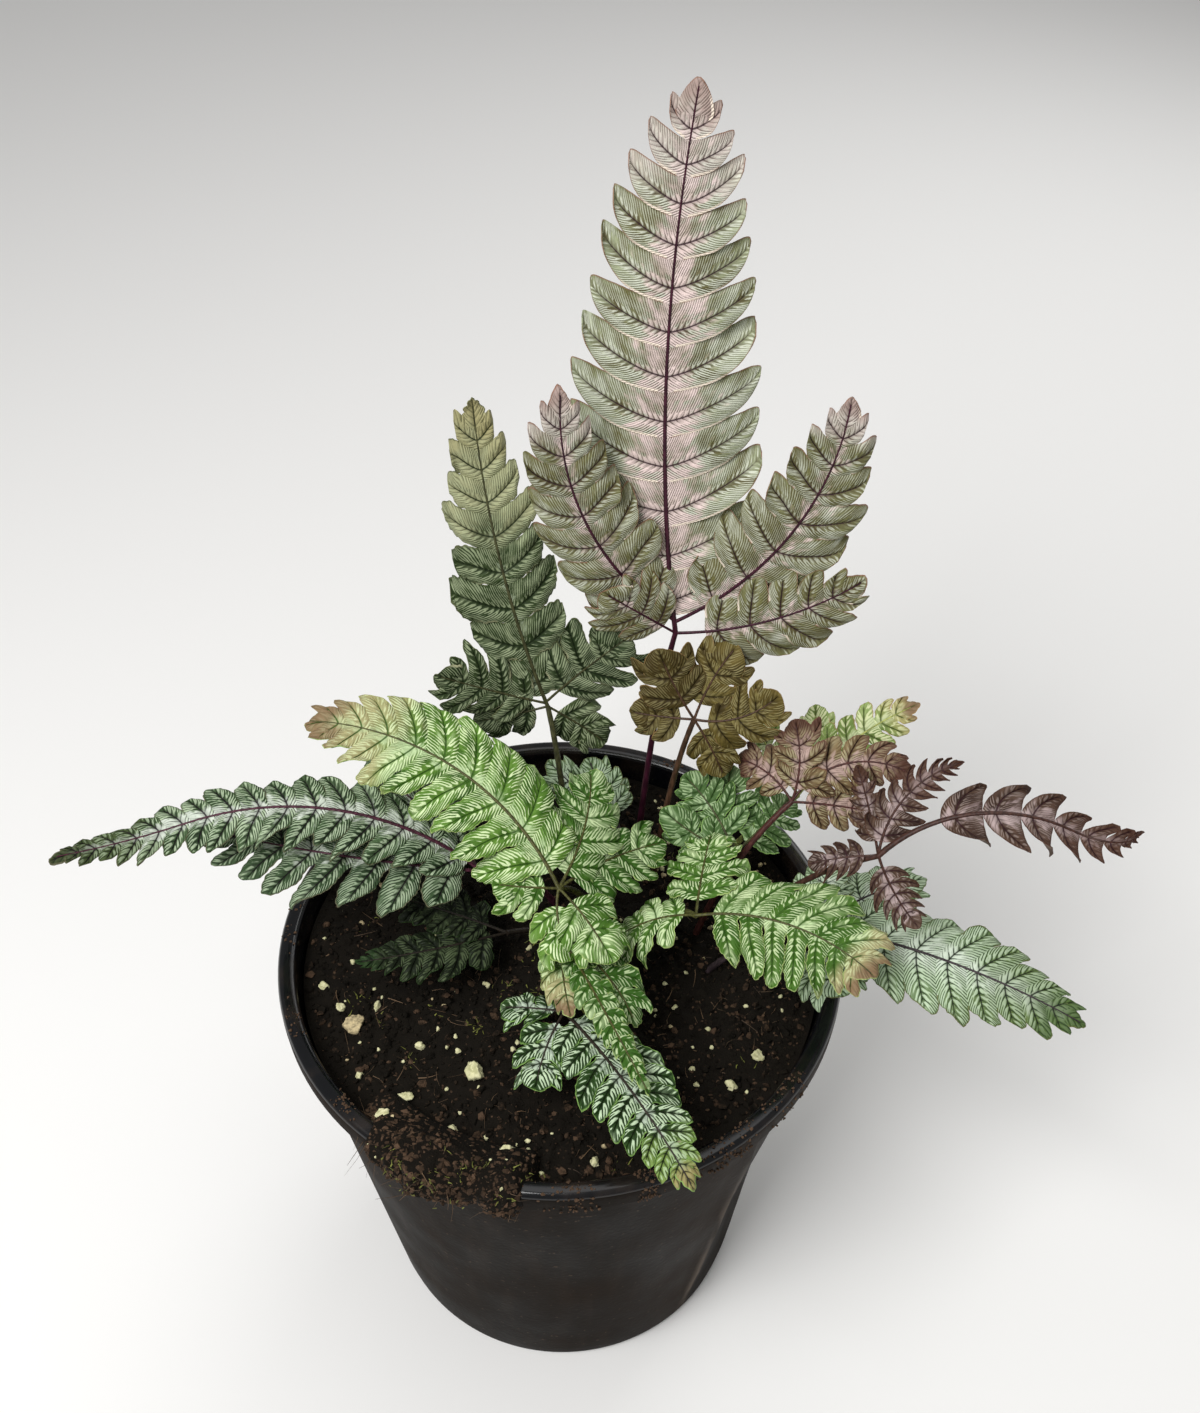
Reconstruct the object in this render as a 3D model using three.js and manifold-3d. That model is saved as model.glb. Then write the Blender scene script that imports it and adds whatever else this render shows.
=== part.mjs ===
// Potted candy striped brake fern, in millimetres, +Z up.
// The origin is the centre of the pot's flat underside. Fronds that reach to the left go to -X,
// and the front of the plant is -Y.

import * as THREE from 'three';
import { mergeVertices } from 'three/addons/utils/BufferGeometryUtils.js';
import Module from 'manifold-3d';

// Pot: a 17 cm moulded nursery pot
const POT_HEIGHT = 151;
const POT_BASE_RADIUS = 61;
const POT_LIP_RADIUS = 85;
const POT_LIP_WIDTH = 5.5;
const POT_LIP_DEPTH = 8;
const POT_WALL = 1.8;
const POT_FLOOR = 2;
const LIP_ROUND = 2;
const BASE_ROUND = 2;
const POT_SIDES = 42;
const DRAIN_HOLES = 6;
const DRAIN_RADIUS = 4.5;
const DRAIN_CIRCLE = 46;

// Soil
const GAP = 0.35;
const SOIL_GAP = 0.5;
const SOIL_EDGE_HEIGHT = 142;
const SOIL_CROWN_HEIGHT = 3;
const SOIL_ROUGHNESS = 0.9;
const SOIL_RINGS = 6;
const SOIL_SIDES = 26;
const SPILL_FROM = 224;
const SPILL_TO = 268;
const SPILL_STEPS = 11;
const SPILL_ROUGHNESS = 1.1;
const GRANULE_STRETCH = [1, 0.85, 0.8];
const GRANULE_RISE = 0.25;

// Perlite granules that show on the soil: x, y, radius, height above the bed
const GRANULES = [
  [-24, -42, 3.4, 0], [-60, -26, 3.2, 0], [-43, -50, 2, 0], [-29, -61, 2.4, 0], [-48, -59, 2.3, 5],
  [-13, -69, 2.4, 3.2], [-65, -20, 2.1, 0], [-54, -20, 1.8, 0], [-23, -70, 1.6, 5.5], [58, -35, 2.1, 0],
  [50, -45, 1.9, 0], [11, -70, 1.7, 0], [-40, -34, 1.4, 0], [22, -58, 1.4, 0], [-57, -43, 1.4, 0],
  [-71, -12, 1.8, 0], [-48, 46, 1.9, 0], [50, 44, 1.8, 0],
];

// Blades and stalks
const BLADE_THICKNESS = 0.64;
const RIB_THICKNESS = 1.9;
const NECK_HALF_WIDTH = 0.9;
const STALK_RADIUS = 1.25;
const STALK_SIDES = 5;
const STALK_STEPS = 5;
const STALK_DEPTH = 9;
const STALK_LEAN = 0.35;
const STALK_RISE = 0.7;
const HOLE_CLEARANCE = 0.6;
const HOLE_RUN_OUT = 6;
const HOLE_SIDES = 6;
const RIB_STEPS = 24;
const CURL_STEPS = 7;
const BLADE_SAG = 0.15;

// One lobe's edge, as [place across its strip, share of its reach], between two clefts. The first
// lobes stand out at FIRST_SLANT degrees from the rib and the last ones at their leaflet's own slant.
const LOBE_EDGE = [[0.02, 0.62], [0.42, 1], [0.95, 0.76]];
const SMALL_LOBE_EDGE = [[0.1, 0.84], [0.88, 0.9]];
const SMALL_HALF_WIDTH = 17;
const LOBE_SHINGLE = 0.07;
const LOBE_HOOK = 0.5;
const FIRST_SLANT = 70;
const FIRST_LOBE_SHARE = 0.72;
const FULL_REACH_FROM = 0.25;
const CLEFT = 0.1;
const CLEFT_DRIFT = 0.3;
const TIP_LENGTH = 2;

const LEAFLET = {
  sweep: 0, droop: 0, lift: 0, bare: 3, along: 0, taper: 0, crowd: 1.3, slant: 48, curl: 0,
};

// Each frond has the root of its stalk on the soil, the knot where its leaflets meet, and the
// heading, pitch and roll of its blade there. A leaflet turns from that direction by its angle,
// rises from the blade's plane by its lift, and bends along its length by its sweep and droop.
// At the tip its lobes are shorter by its taper, stand closer where its crowd is higher, and lean
// to the rib by its slant. Its last steps fall further by its curl.
const FRONDS = [
  {
    name: 'frond_tall_centre', colour: 0xa9a49f, root: [24, 46], knot: [33, 56, 226], face: [90, 80, 0],
    leaflets: [
      { angle: -8, length: 155, half: 27, lobes: 13, sweep: 16, bare: 6, slant: 60 },
      {
        angle: -51, length: 87, half: 18, lobes: 8, sweep: 54, droop: -5, lift: 7, along: 4, bare: 7,
        taper: 0.3,
      },
      {
        angle: 57, length: 90, half: 19, lobes: 8, sweep: -54, droop: -5, lift: 7, along: 4, bare: 9,
        taper: 0.3,
      },
      { angle: 80, length: 58, half: 17, lobes: 6, sweep: -30, droop: 5, lift: 14, bare: 9, taper: 0.3 },
      { angle: -50, length: 27, half: 13, lobes: 4, lift: 16, bare: 5 },
    ],
  },
  {
    name: 'frond_left_upright', colour: 0x4d6450, root: [2, 36], knot: [-5, 53, 198], face: [95, 76, 0],
    leaflets: [
      { angle: -18, length: 99, half: 17, lobes: 9, sweep: 15, bare: 4, taper: 0.1 },
      { angle: 42, length: 33, half: 16, lobes: 4, sweep: 8, lift: 9, along: 2, bare: 5 },
      { angle: -68, length: 35, half: 13, lobes: 5, sweep: 4, lift: 9, along: 1, bare: 5 },
      { angle: -108, length: 22, half: 10, lobes: 3, sweep: 5, lift: -8, bare: 4 },
      { angle: 126, length: 22, half: 9, lobes: 3, sweep: 8, lift: -4, bare: 4 },
    ],
  },
  {
    name: 'frond_olive', colour: 0x6f6636, root: [29, 33], knot: [39, 40, 206], face: [80, 62, 0],
    leaflets: [
      { angle: 12, length: 24, half: 11, lobes: 3, sweep: 20, lift: -2, bare: 5 },
      { angle: -38, length: 23, half: 11, lobes: 3, sweep: 13, lift: 8, bare: 5 },
      { angle: -96, length: 18, half: 9, lobes: 3, sweep: 7, lift: -4, bare: 4 },
      { angle: 94, length: 26, half: 11, lobes: 4, sweep: -54, bare: 4 },
      { angle: 143, length: 19, half: 8, lobes: 3, sweep: 10, lift: -8, bare: 4 },
    ],
  },
  {
    name: 'frond_bright_left', colour: 0x78a04e, root: [12, 8], knot: [0, -11, 189], face: [140, 25, 0],
    leaflets: [
      { angle: 15, length: 90, half: 21, lobes: 10, sweep: -54, droop: 30, lift: 10, bare: 5, taper: 0.15 },
      { angle: 74, length: 42, half: 14, lobes: 5, sweep: -23, droop: 15, bare: 5 },
      { angle: 94, length: 40, half: 13, lobes: 5, sweep: 20, lift: -9, bare: 6 },
      { angle: 177, length: 24, half: 12, lobes: 3, sweep: 18, droop: 5, bare: 5 },
      { angle: -125, length: 19, half: 10, lobes: 3, sweep: -50, droop: 5, lift: -12, bare: 5 },
      { angle: -50, length: 17, half: 9, lobes: 3, sweep: 10, droop: 10, lift: -2, bare: 4 },
    ],
  },
  {
    name: 'frond_long_left', colour: 0x5c6d61, root: [-2, 18], knot: [-23, 4, 178], face: [168, 20, 0],
    leaflets: [
      { angle: 8, length: 126, half: 14, lobes: 17, sweep: -54, droop: 60, lift: 14, bare: 5, taper: 0.15 },
      { angle: -21, length: 83, half: 18, lobes: 9, sweep: 30, droop: 28, lift: -2, bare: 5 },
      { angle: 27, length: 47, half: 12, lobes: 5, lift: 2, bare: 5 },
    ],
  },
  {
    name: 'frond_bright_right', colour: 0x86a350, root: [24, 10], knot: [39, -13, 180], face: [-15, 15, 0],
    leaflets: [
      { angle: -8, length: 54, half: 20, lobes: 8, sweep: 41, droop: 25, lift: 5, bare: 5 },
      { angle: -172, length: 31, half: 12, lobes: 5, sweep: -30, droop: 25, lift: -8, bare: 4 },
      { angle: -95, length: 31, half: 13, lobes: 5, droop: 20, lift: 10, bare: 5 },
    ],
  },
  {
    name: 'frond_middle', colour: 0x66904f, root: [35, 22], knot: [52, 17, 172], face: [85, 40, 0],
    leaflets: [
      { angle: -24, length: 27, half: 11, lobes: 5, sweep: -24, droop: 20, lift: 4, bare: 5 },
      { angle: -16, length: 26, half: 10, lobes: 4, sweep: 18, droop: 15, lift: -6, bare: 6 },
      { angle: 43, length: 26, half: 11, lobes: 5, sweep: -4, droop: 20, lift: -12, bare: 5 },
      { angle: -75, length: 24, half: 8, lobes: 3, sweep: 23, droop: 10, lift: 10, bare: 4 },
    ],
  },
  {
    name: 'frond_small_back', colour: 0x8fa58a, root: [13, 33], knot: [18, 39, 156], face: [100, 35, 0],
    leaflets: [
      { angle: -39, length: 31, half: 8, lobes: 4, sweep: 3, droop: 10, bare: 6 },
      { angle: -22, length: 24, half: 9, lobes: 4, sweep: 10, droop: 5, lift: 9, bare: 6 },
      { angle: -8, length: 20, half: 8, lobes: 4, droop: 10, lift: -5, bare: 6 },
    ],
  },
  {
    name: 'frond_bronze', colour: 0x7a5f5c, root: [42, 9], knot: [68, 22, 190], face: [60, 45, 0],
    leaflets: [
      { angle: 1, length: 23, half: 10, lobes: 4, sweep: -36, lift: 8, bare: 4 },
      { angle: 10, length: 38, half: 10, lobes: 6, sweep: 85, droop: 15, bare: 5 },
      { angle: -51, length: 21, half: 8, lobes: 4, sweep: -45, droop: 10, bare: 4 },
      { angle: 70, length: 24, half: 8, lobes: 4, sweep: 9, droop: 10, lift: -10, bare: 4 },
    ],
  },
  {
    name: 'frond_back_right', colour: 0x9dbb78, root: [43, 27], knot: [74, 45, 168], face: [45, 45, 0],
    leaflets: [
      { angle: 6, length: 46, half: 10, lobes: 7, sweep: 25, droop: 20, lift: 2, bare: 6 },
      { angle: -14, length: 29, half: 9, lobes: 4, sweep: -27, droop: 10, lift: -8, bare: 6 },
      { angle: -74, length: 28, half: 9, lobes: 4, sweep: 12, droop: 10, bare: 6 },
    ],
  },
  {
    name: 'frond_young_purple', colour: 0x5a3f3c, root: [50, 3], knot: [89, -7, 200], face: [20, 25, 0],
    leaflets: [
      {
        angle: 0, length: 80, half: 13, lobes: 10, sweep: 64, droop: 83, lift: 22, bare: 20, taper: 0.5,
        crowd: 2, slant: 55, curl: -137,
      },
      { angle: -53, length: 36, half: 9, lobes: 9, sweep: 70, lift: 10, bare: 4, taper: 0.3, crowd: 1.6 },
      { angle: -71, length: 30, half: 7, lobes: 6, sweep: -6, bare: 5, taper: 0.3 },
      { angle: -148, length: 18, half: 7, lobes: 5, sweep: -15, lift: 6, bare: 4 },
      { angle: 103, length: 23, half: 7, lobes: 6, sweep: -20, droop: 10, bare: 4 },
    ],
  },
  {
    name: 'frond_mint_right', colour: 0x8ba691, root: [46, -5], knot: [76, -7, 168], face: [-18, 10, -8],
    leaflets: [
      { angle: 5, length: 77, half: 17, lobes: 9, sweep: 11, droop: 20, lift: 5, bare: 6, taper: 0.2 },
      { angle: -59, length: 36, half: 12, lobes: 5, sweep: 26, droop: 10, lift: -6, bare: 6 },
      { angle: -105, length: 20, half: 10, lobes: 4, sweep: 20, droop: 10, lift: 4, bare: 5 },
      { angle: 67, length: 20, half: 12, lobes: 4, sweep: -10, droop: 15, lift: -8, bare: 5 },
    ],
  },
  {
    name: 'frond_front', colour: 0x5f8163, root: [8, -8], knot: [2, -36, 165], face: [-52, 12, 0],
    leaflets: [
      { angle: 3, length: 64, half: 14, lobes: 10, sweep: 6, droop: 25, lift: 3, bare: 4, taper: 0.15 },
      { angle: 66, length: 23, half: 10, lobes: 4, sweep: -16, droop: 15, lift: -6, bare: 4 },
      { angle: 146, length: 18, half: 8, lobes: 3, sweep: -3, droop: 10 },
    ],
  },
  {
    name: 'frond_front_bright', colour: 0x7da05c, root: [14, -1], knot: [1, -15, 172], face: [-60, 10, 0],
    leaflets: [
      { angle: 32, length: 25, half: 8, lobes: 5, sweep: -15, droop: 20, lift: -2, bare: 4, taper: 0.3 },
      { angle: 8, length: 57, half: 6, lobes: 11, sweep: -5, droop: 25, lift: 5, bare: 9, taper: 0.2 },
      { angle: -22, length: 34, half: 9, lobes: 4, sweep: 30, droop: 10, lift: -6, bare: 8 },
    ],
  },
  {
    name: 'frond_low_left', colour: 0x42584a, root: [0, 6], knot: [-16, -3, 158], face: [185, 10, 0],
    leaflets: [
      { angle: -21, length: 44, half: 12, lobes: 8, sweep: 13, droop: 8, bare: 5, taper: 0.4, crowd: 1.6 },
      { angle: 16, length: 38, half: 11, lobes: 8, sweep: -3, droop: 8, lift: 9, bare: 6, taper: 0.4 },
    ],
  },
];

const wasm = await Module();
wasm.setup();

const radians = THREE.MathUtils.degToRad;

// A number between 0 and 1 that depends only on the two given
function noise(a, b) {
  const wave = Math.sin(a * 12.9898 + b * 78.233) * 43758.5453;
  return wave - Math.floor(wave);
}

function solidFromMesh(vertices, triangles) {
  return new wasm.Manifold(new wasm.Mesh({
    numProp: 3,
    vertProperties: new Float32Array(vertices.flat()),
    triVerts: new Uint32Array(triangles.flat()),
  }));
}

function solidFromGeometry(geometry) {
  const bare = geometry.clone();
  bare.deleteAttribute('normal');
  bare.deleteAttribute('uv');
  const merged = mergeVertices(bare, 1e-4);
  return new wasm.Manifold(new wasm.Mesh({
    numProp: 3,
    vertProperties: new Float32Array(merged.attributes.position.array),
    triVerts: new Uint32Array(merged.index.array),
  }));
}

function geometryFromSolid(solid) {
  const mesh = solid.getMesh();
  const geometry = new THREE.BufferGeometry();
  geometry.setAttribute('position', new THREE.BufferAttribute(mesh.vertProperties, 3));
  geometry.setIndex(new THREE.BufferAttribute(mesh.triVerts, 1));
  geometry.computeVertexNormals();
  return geometry;
}

// Direction along a blade, the direction to its right and the one out of its upper face
function faceFrame([heading, pitch, roll]) {
  const h = radians(heading);
  const p = radians(pitch);
  const along = new THREE.Vector3(Math.cos(p) * Math.cos(h), Math.cos(p) * Math.sin(h), Math.sin(p));
  const right = new THREE.Vector3(Math.sin(h), -Math.cos(h), 0);
  const up = new THREE.Vector3().crossVectors(right, along);
  return turnFrame({ along, right, up }, 0, 0, roll);
}

function turnFrame({ along, right, up }, angle, lift, roll) {
  const mix = (p, q, degrees) => {
    const c = Math.cos(radians(degrees));
    const s = Math.sin(radians(degrees));
    return [
      p.clone().multiplyScalar(c).addScaledVector(q, s),
      q.clone().multiplyScalar(c).addScaledVector(p, -s),
    ];
  };
  const [along1, right1] = mix(along, right, angle);
  const [along2, up1] = mix(along1, up, lift);
  const [right2, up2] = mix(right1, up1, roll);
  return { along: along2, right: right2, up: up2 };
}

// A leaflet's rib as points and frames in even steps
function ribLine(leaf, knot, face) {
  const start = new THREE.Vector3(...knot).addScaledVector(face.along, leaf.along);
  let frame = turnFrame(face, leaf.angle, leaf.lift, 0);
  const points = [start];
  const frames = [frame];
  const step = leaf.length / RIB_STEPS;
  const turn = leaf.sweep / RIB_STEPS / 2;
  for (let i = 0; i < RIB_STEPS; i += 1) {
    const curl = i < RIB_STEPS - CURL_STEPS ? 0 : leaf.curl / CURL_STEPS;
    const fall = -(leaf.droop / RIB_STEPS + curl) / 2;
    const half = turnFrame(frame, turn, fall, 0);
    points.push(points[i].clone().addScaledVector(half.along, step));
    frame = turnFrame(half, turn, fall, 0);
    frames.push(frame);
  }
  return { points, frames };
}

// Where the strips of the lobes meet along the rib: they shorten towards the tip
function stripEdges(leaf) {
  const blade = leaf.length - leaf.bare;
  return Array.from({ length: leaf.lobes + 1 }, (unused, i) => (
    leaf.bare + blade * (1 - (1 - i / leaf.lobes) ** leaf.crowd)
  ));
}

// How far the lobes reach from the rib at a distance along it
function reachAt(leaf, distance) {
  const t = THREE.MathUtils.clamp((distance - leaf.bare) / (leaf.length - leaf.bare), 0, 1);
  const start = THREE.MathUtils.lerp(FIRST_LOBE_SHARE, 1, Math.min(1, t / FULL_REACH_FROM));
  return leaf.half * (1 - t ** 3) ** 0.8 * start * (1 - leaf.taper * t);
}

// One blade with its clefts, as a thin closed solid with a thicker rib
function leafletSolid(leaf, knot, face) {
  const { points, frames } = ribLine(leaf, knot, face);
  const edges = stripEdges(leaf);
  const upper = [];
  const lower = [];
  const step = leaf.length / RIB_STEPS;

  const place = (s, v, rise, thickness) => {
    const at = THREE.MathUtils.clamp(Math.floor(s / step), 0, RIB_STEPS - 1);
    const near = THREE.MathUtils.clamp(Math.round(s / step), 0, RIB_STEPS);
    const { right, up } = frames[near];
    const base = points[at].clone().lerp(points[at + 1], s / step - at);
    base.addScaledVector(right, v);
    base.addScaledVector(up, rise - BLADE_SAG * v * v / leaf.half);
    upper.push(base.clone().addScaledVector(up, thickness / 2).toArray());
    lower.push(base.clone().addScaledVector(up, -thickness / 2).toArray());
    return upper.length - 1;
  };

  const ribThickness = (s) => THREE.MathUtils.lerp(RIB_THICKNESS, BLADE_THICKNESS * 1.5, s / leaf.length);
  const ribs = [0, ...edges].map((s) => place(s, 0, 0, ribThickness(s)));
  const tip = place(leaf.length + TIP_LENGTH, 0, 0, BLADE_THICKNESS);

  // One side of the blade: its edge from the neck to the tip, and its upper triangles
  const sideOf = (sign) => {
    const neck = place(0, sign * NECK_HALF_WIDTH, 0, BLADE_THICKNESS);
    const cleft = (i) => {
      const middle = i < leaf.lobes ? (edges[i] + edges[Math.min(i + 1, leaf.lobes)]) / 2 : leaf.length;
      const v = Math.max(NECK_HALF_WIDTH, CLEFT * reachAt(leaf, middle));
      return place(edges[i] + v * CLEFT_DRIFT, sign * v, 0, BLADE_THICKNESS);
    };
    const outline = [neck];
    const triangles = [];
    let root = cleft(0);
    outline.push(root);
    triangles.push([ribs[0], ribs[1], neck], [neck, ribs[1], root]);
    for (let i = 0; i < leaf.lobes; i += 1) {
      const width = edges[i + 1] - edges[i];
      const middle = (edges[i] + edges[i + 1]) / 2;
      const reach = reachAt(leaf, middle);
      const t = (middle - leaf.bare) / (leaf.length - leaf.bare);
      const lean = 1 / Math.tan(radians(THREE.MathUtils.lerp(FIRST_SLANT, leaf.slant, t * t)));
      const edge = leaf.half > SMALL_HALF_WIDTH ? LOBE_EDGE : SMALL_LOBE_EDGE;
      const rim = edge.map(([across, share]) => {
        const v = share * reach;
        const s = edges[i] + across * width + v * lean * (1 - LOBE_HOOK + LOBE_HOOK * share);
        const shingle = LOBE_SHINGLE * width * (0.5 - across) * 2 * share;
        return place(s, sign * v, shingle, BLADE_THICKNESS);
      });
      const next = cleft(i + 1);
      const [low, end, high] = rim.length > 2 ? rim : [rim[0], null, rim[1]];
      outline.push(...rim, next);
      triangles.push([ribs[i + 1], ribs[i + 2], next], [ribs[i + 1], next, root]);
      triangles.push([root, next, high], [root, high, low]);
      if (end !== null) {
        triangles.push([low, high, end]);
      }
      root = next;
    }
    triangles.push([ribs[leaf.lobes + 1], tip, root]);
    outline.push(tip);
    return { outline, triangles: sign > 0 ? triangles.map(([a, b, c]) => [a, c, b]) : triangles };
  };

  const left = sideOf(-1);
  const right = sideOf(1);
  const faces = [...left.triangles, ...right.triangles];
  const count = upper.length;
  const vertices = [...upper, ...lower];
  const triangles = faces.flatMap(([a, b, c]) => [[a, b, c], [a + count, c + count, b + count]]);
  const border = [ribs[0], ...right.outline, ...left.outline.slice(0, -1).reverse()];
  for (let i = 0; i < border.length; i += 1) {
    const a = border[i];
    const b = border[(i + 1) % border.length];
    triangles.push([a, a + count, b], [b, a + count, b + count]);
  }
  return solidFromMesh(vertices, triangles);
}

// The stalk's line: straight through its hole in the soil, then bending over to its knot
function stalkAxis(frond) {
  const knot = new THREE.Vector3(...frond.knot);
  const exit = new THREE.Vector3(...frond.root, SOIL_EDGE_HEIGHT + SOIL_CROWN_HEIGHT);
  const bend = exit.clone().lerp(knot, STALK_LEAN);
  bend.z = THREE.MathUtils.lerp(exit.z, knot.z, STALK_RISE);
  const direction = bend.clone().sub(exit).normalize();
  const foot = exit.clone().addScaledVector(direction, -STALK_DEPTH);
  return { foot, exit, bend, knot, direction };
}

function polygonShape(radius, sides) {
  const corners = Array.from({ length: sides }, (unused, i) => {
    const angle = (i / sides) * Math.PI * 2;
    return new THREE.Vector2(radius * Math.cos(angle), radius * Math.sin(angle));
  });
  return new THREE.Shape(corners);
}

function stalkSolid(frond) {
  const { foot, exit, bend, knot } = stalkAxis(frond);
  const line = new THREE.CurvePath();
  line.add(new THREE.LineCurve3(foot, exit));
  line.add(new THREE.QuadraticBezierCurve3(exit, bend, knot));
  const geometry = new THREE.ExtrudeGeometry(polygonShape(STALK_RADIUS, STALK_SIDES), {
    steps: STALK_STEPS,
    bevelEnabled: false,
    extrudePath: line,
  });
  return solidFromGeometry(geometry);
}

function frondSolid(frond) {
  const face = faceFrame(frond.face);
  return frond.leaflets
    .map((leaflet) => leafletSolid({ ...LEAFLET, ...leaflet }, frond.knot, face))
    .reduce((whole, blade) => whole.add(blade), stalkSolid(frond));
}

// The straight hole that a stalk stands in
function stalkHole(frond) {
  const { foot, direction } = stalkAxis(frond);
  const radius = STALK_RADIUS + HOLE_CLEARANCE;
  const length = STALK_DEPTH + HOLE_CLEARANCE + HOLE_RUN_OUT;
  const hole = new THREE.CylinderGeometry(radius, radius, length, HOLE_SIDES);
  hole.translate(0, length / 2 - HOLE_CLEARANCE, 0);
  hole.applyQuaternion(new THREE.Quaternion().setFromUnitVectors(new THREE.Vector3(0, 1, 0), direction));
  hole.translate(foot.x, foot.y, foot.z);
  return solidFromGeometry(hole);
}

function wallRadius(z) {
  const top = POT_LIP_RADIUS - POT_LIP_WIDTH + POT_WALL;
  return THREE.MathUtils.lerp(POT_BASE_RADIUS, top, z / POT_HEIGHT);
}

// The pot's closed outline, grown outwards by a clearance for what lies against it
function potProfile(grow) {
  const inner = POT_LIP_RADIUS - POT_LIP_WIDTH;
  const round = LIP_ROUND;
  const lipFoot = POT_HEIGHT - POT_LIP_DEPTH;
  return [
    [0, -grow],
    [POT_BASE_RADIUS - BASE_ROUND + grow, -grow],
    [POT_BASE_RADIUS + grow, BASE_ROUND - grow],
    [wallRadius(lipFoot) + grow, lipFoot - grow],
    [POT_LIP_RADIUS - 1 + grow, lipFoot - grow],
    [POT_LIP_RADIUS + grow, lipFoot + 1 - grow],
    [POT_LIP_RADIUS + grow, POT_HEIGHT - round + grow * 0.4],
    [POT_LIP_RADIUS - 0.6 + grow, POT_HEIGHT - 0.6 + grow],
    [POT_LIP_RADIUS - round, POT_HEIGHT + grow],
    [inner + round, POT_HEIGHT + grow],
    [inner + 0.6 - grow, POT_HEIGHT - 0.6 + grow],
    [inner - grow, POT_HEIGHT - round],
    [wallRadius(lipFoot) - POT_WALL - grow, lipFoot - 2],
    [wallRadius(POT_FLOOR) - POT_WALL - grow, POT_FLOOR + grow],
    [0, POT_FLOOR + grow],
  ].map(([r, z]) => new THREE.Vector2(r, z));
}

function turnedSolid(profile, sides) {
  const geometry = new THREE.LatheGeometry(profile, sides);
  geometry.rotateX(Math.PI / 2);
  return solidFromGeometry(geometry);
}

function potSolid() {
  let pot = turnedSolid(potProfile(0), POT_SIDES);
  for (let i = 0; i < DRAIN_HOLES; i += 1) {
    const angle = (i / DRAIN_HOLES) * Math.PI * 2;
    const hole = new THREE.CylinderGeometry(DRAIN_RADIUS, DRAIN_RADIUS, 10, 10);
    hole.rotateX(Math.PI / 2);
    hole.translate(DRAIN_CIRCLE * Math.cos(angle), DRAIN_CIRCLE * Math.sin(angle), 0);
    pot = pot.subtract(solidFromGeometry(hole));
  }
  return pot;
}

// The soil's height over the point at a distance and an angle from the middle
function soilHeight(radius, sector) {
  const edge = wallRadius(SOIL_EDGE_HEIGHT) - POT_WALL;
  const t = radius / edge;
  const rough = (noise(Math.round(radius), sector) - 0.5) * 2 * SOIL_ROUGHNESS;
  return SOIL_EDGE_HEIGHT + SOIL_CROWN_HEIGHT * (1 - t * t) + (t < 0.97 ? rough : 0);
}

function soilBed() {
  const vertices = [];
  const triangles = [];
  const radii = Array.from({ length: SOIL_RINGS }, (unused, i) => (
    (wallRadius(SOIL_EDGE_HEIGHT) - POT_WALL - SOIL_GAP) * (i + 1) / SOIL_RINGS
  ));
  const foot = wallRadius(POT_FLOOR) - POT_WALL - SOIL_GAP;
  const ring = (radius, height) => {
    const first = vertices.length;
    for (let i = 0; i < SOIL_SIDES; i += 1) {
      const angle = (i / SOIL_SIDES) * Math.PI * 2;
      vertices.push([radius * Math.cos(angle), radius * Math.sin(angle), height(i)]);
    }
    return first;
  };
  const join = (a, b) => {
    for (let i = 0; i < SOIL_SIDES; i += 1) {
      const j = (i + 1) % SOIL_SIDES;
      triangles.push([a + i, b + i, a + j], [a + j, b + i, b + j]);
    }
  };
  vertices.push([0, 0, soilHeight(0, 0)]);
  const rings = radii.map((radius) => ring(radius, (i) => soilHeight(radius, i)));
  rings.push(ring(foot, () => POT_FLOOR));
  for (let i = 0; i < SOIL_SIDES; i += 1) {
    triangles.push([0, rings[0] + i, rings[0] + (i + 1) % SOIL_SIDES]);
  }
  for (let i = 0; i + 1 < rings.length; i += 1) {
    join(rings[i], rings[i + 1]);
  }
  const last = rings[rings.length - 1];
  vertices.push([0, 0, POT_FLOOR]);
  for (let i = 0; i < SOIL_SIDES; i += 1) {
    triangles.push([vertices.length - 1, last + (i + 1) % SOIL_SIDES, last + i]);
  }
  return solidFromMesh(vertices, triangles);
}

// The heap that lies over the lip: a section from inside the pot to outside it, along an arc
function soilSpill() {
  const lip = POT_LIP_RADIUS;
  const top = POT_HEIGHT;
  const section = [
    [lip - 20, top - 12], [lip - 16, top - 5], [lip - 8, top + 1.2], [lip - 3, top + 2.4],
    [lip + 1.2, top + 1.4], [lip + 2.6, top - 3], [lip + 1.6, top - 6.5], [lip - 2, top - 6.5],
    [lip - 10, top - 7], [lip - 10, top - 13],
  ];
  const vertices = [];
  const triangles = [];
  for (let i = 0; i <= SPILL_STEPS; i += 1) {
    const t = i / SPILL_STEPS;
    const angle = radians(THREE.MathUtils.lerp(SPILL_FROM, SPILL_TO, t));
    const swell = Math.sin(Math.PI * t) ** 0.5;
    section.forEach(([r, z], k) => {
      const rough = (noise(i, k) - 0.5) * 2 * SPILL_ROUGHNESS * swell;
      const buried = k < 2 || k > 6;
      const radius = buried ? r : THREE.MathUtils.lerp(lip - 9, r + rough, swell);
      const height = buried ? z : THREE.MathUtils.lerp(top - 8, z + rough, swell);
      vertices.push([radius * Math.cos(angle), radius * Math.sin(angle), height]);
    });
  }
  const n = section.length;
  for (let i = 0; i < SPILL_STEPS; i += 1) {
    for (let k = 0; k < n; k += 1) {
      const a = i * n + k;
      const b = i * n + (k + 1) % n;
      triangles.push([a, b, a + n], [b, b + n, a + n]);
    }
  }
  const last = SPILL_STEPS * n;
  for (let k = 1; k + 1 < n; k += 1) {
    triangles.push([0, k + 1, k], [last, last + k, last + k + 1]);
  }
  return solidFromMesh(vertices, triangles);
}

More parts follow.
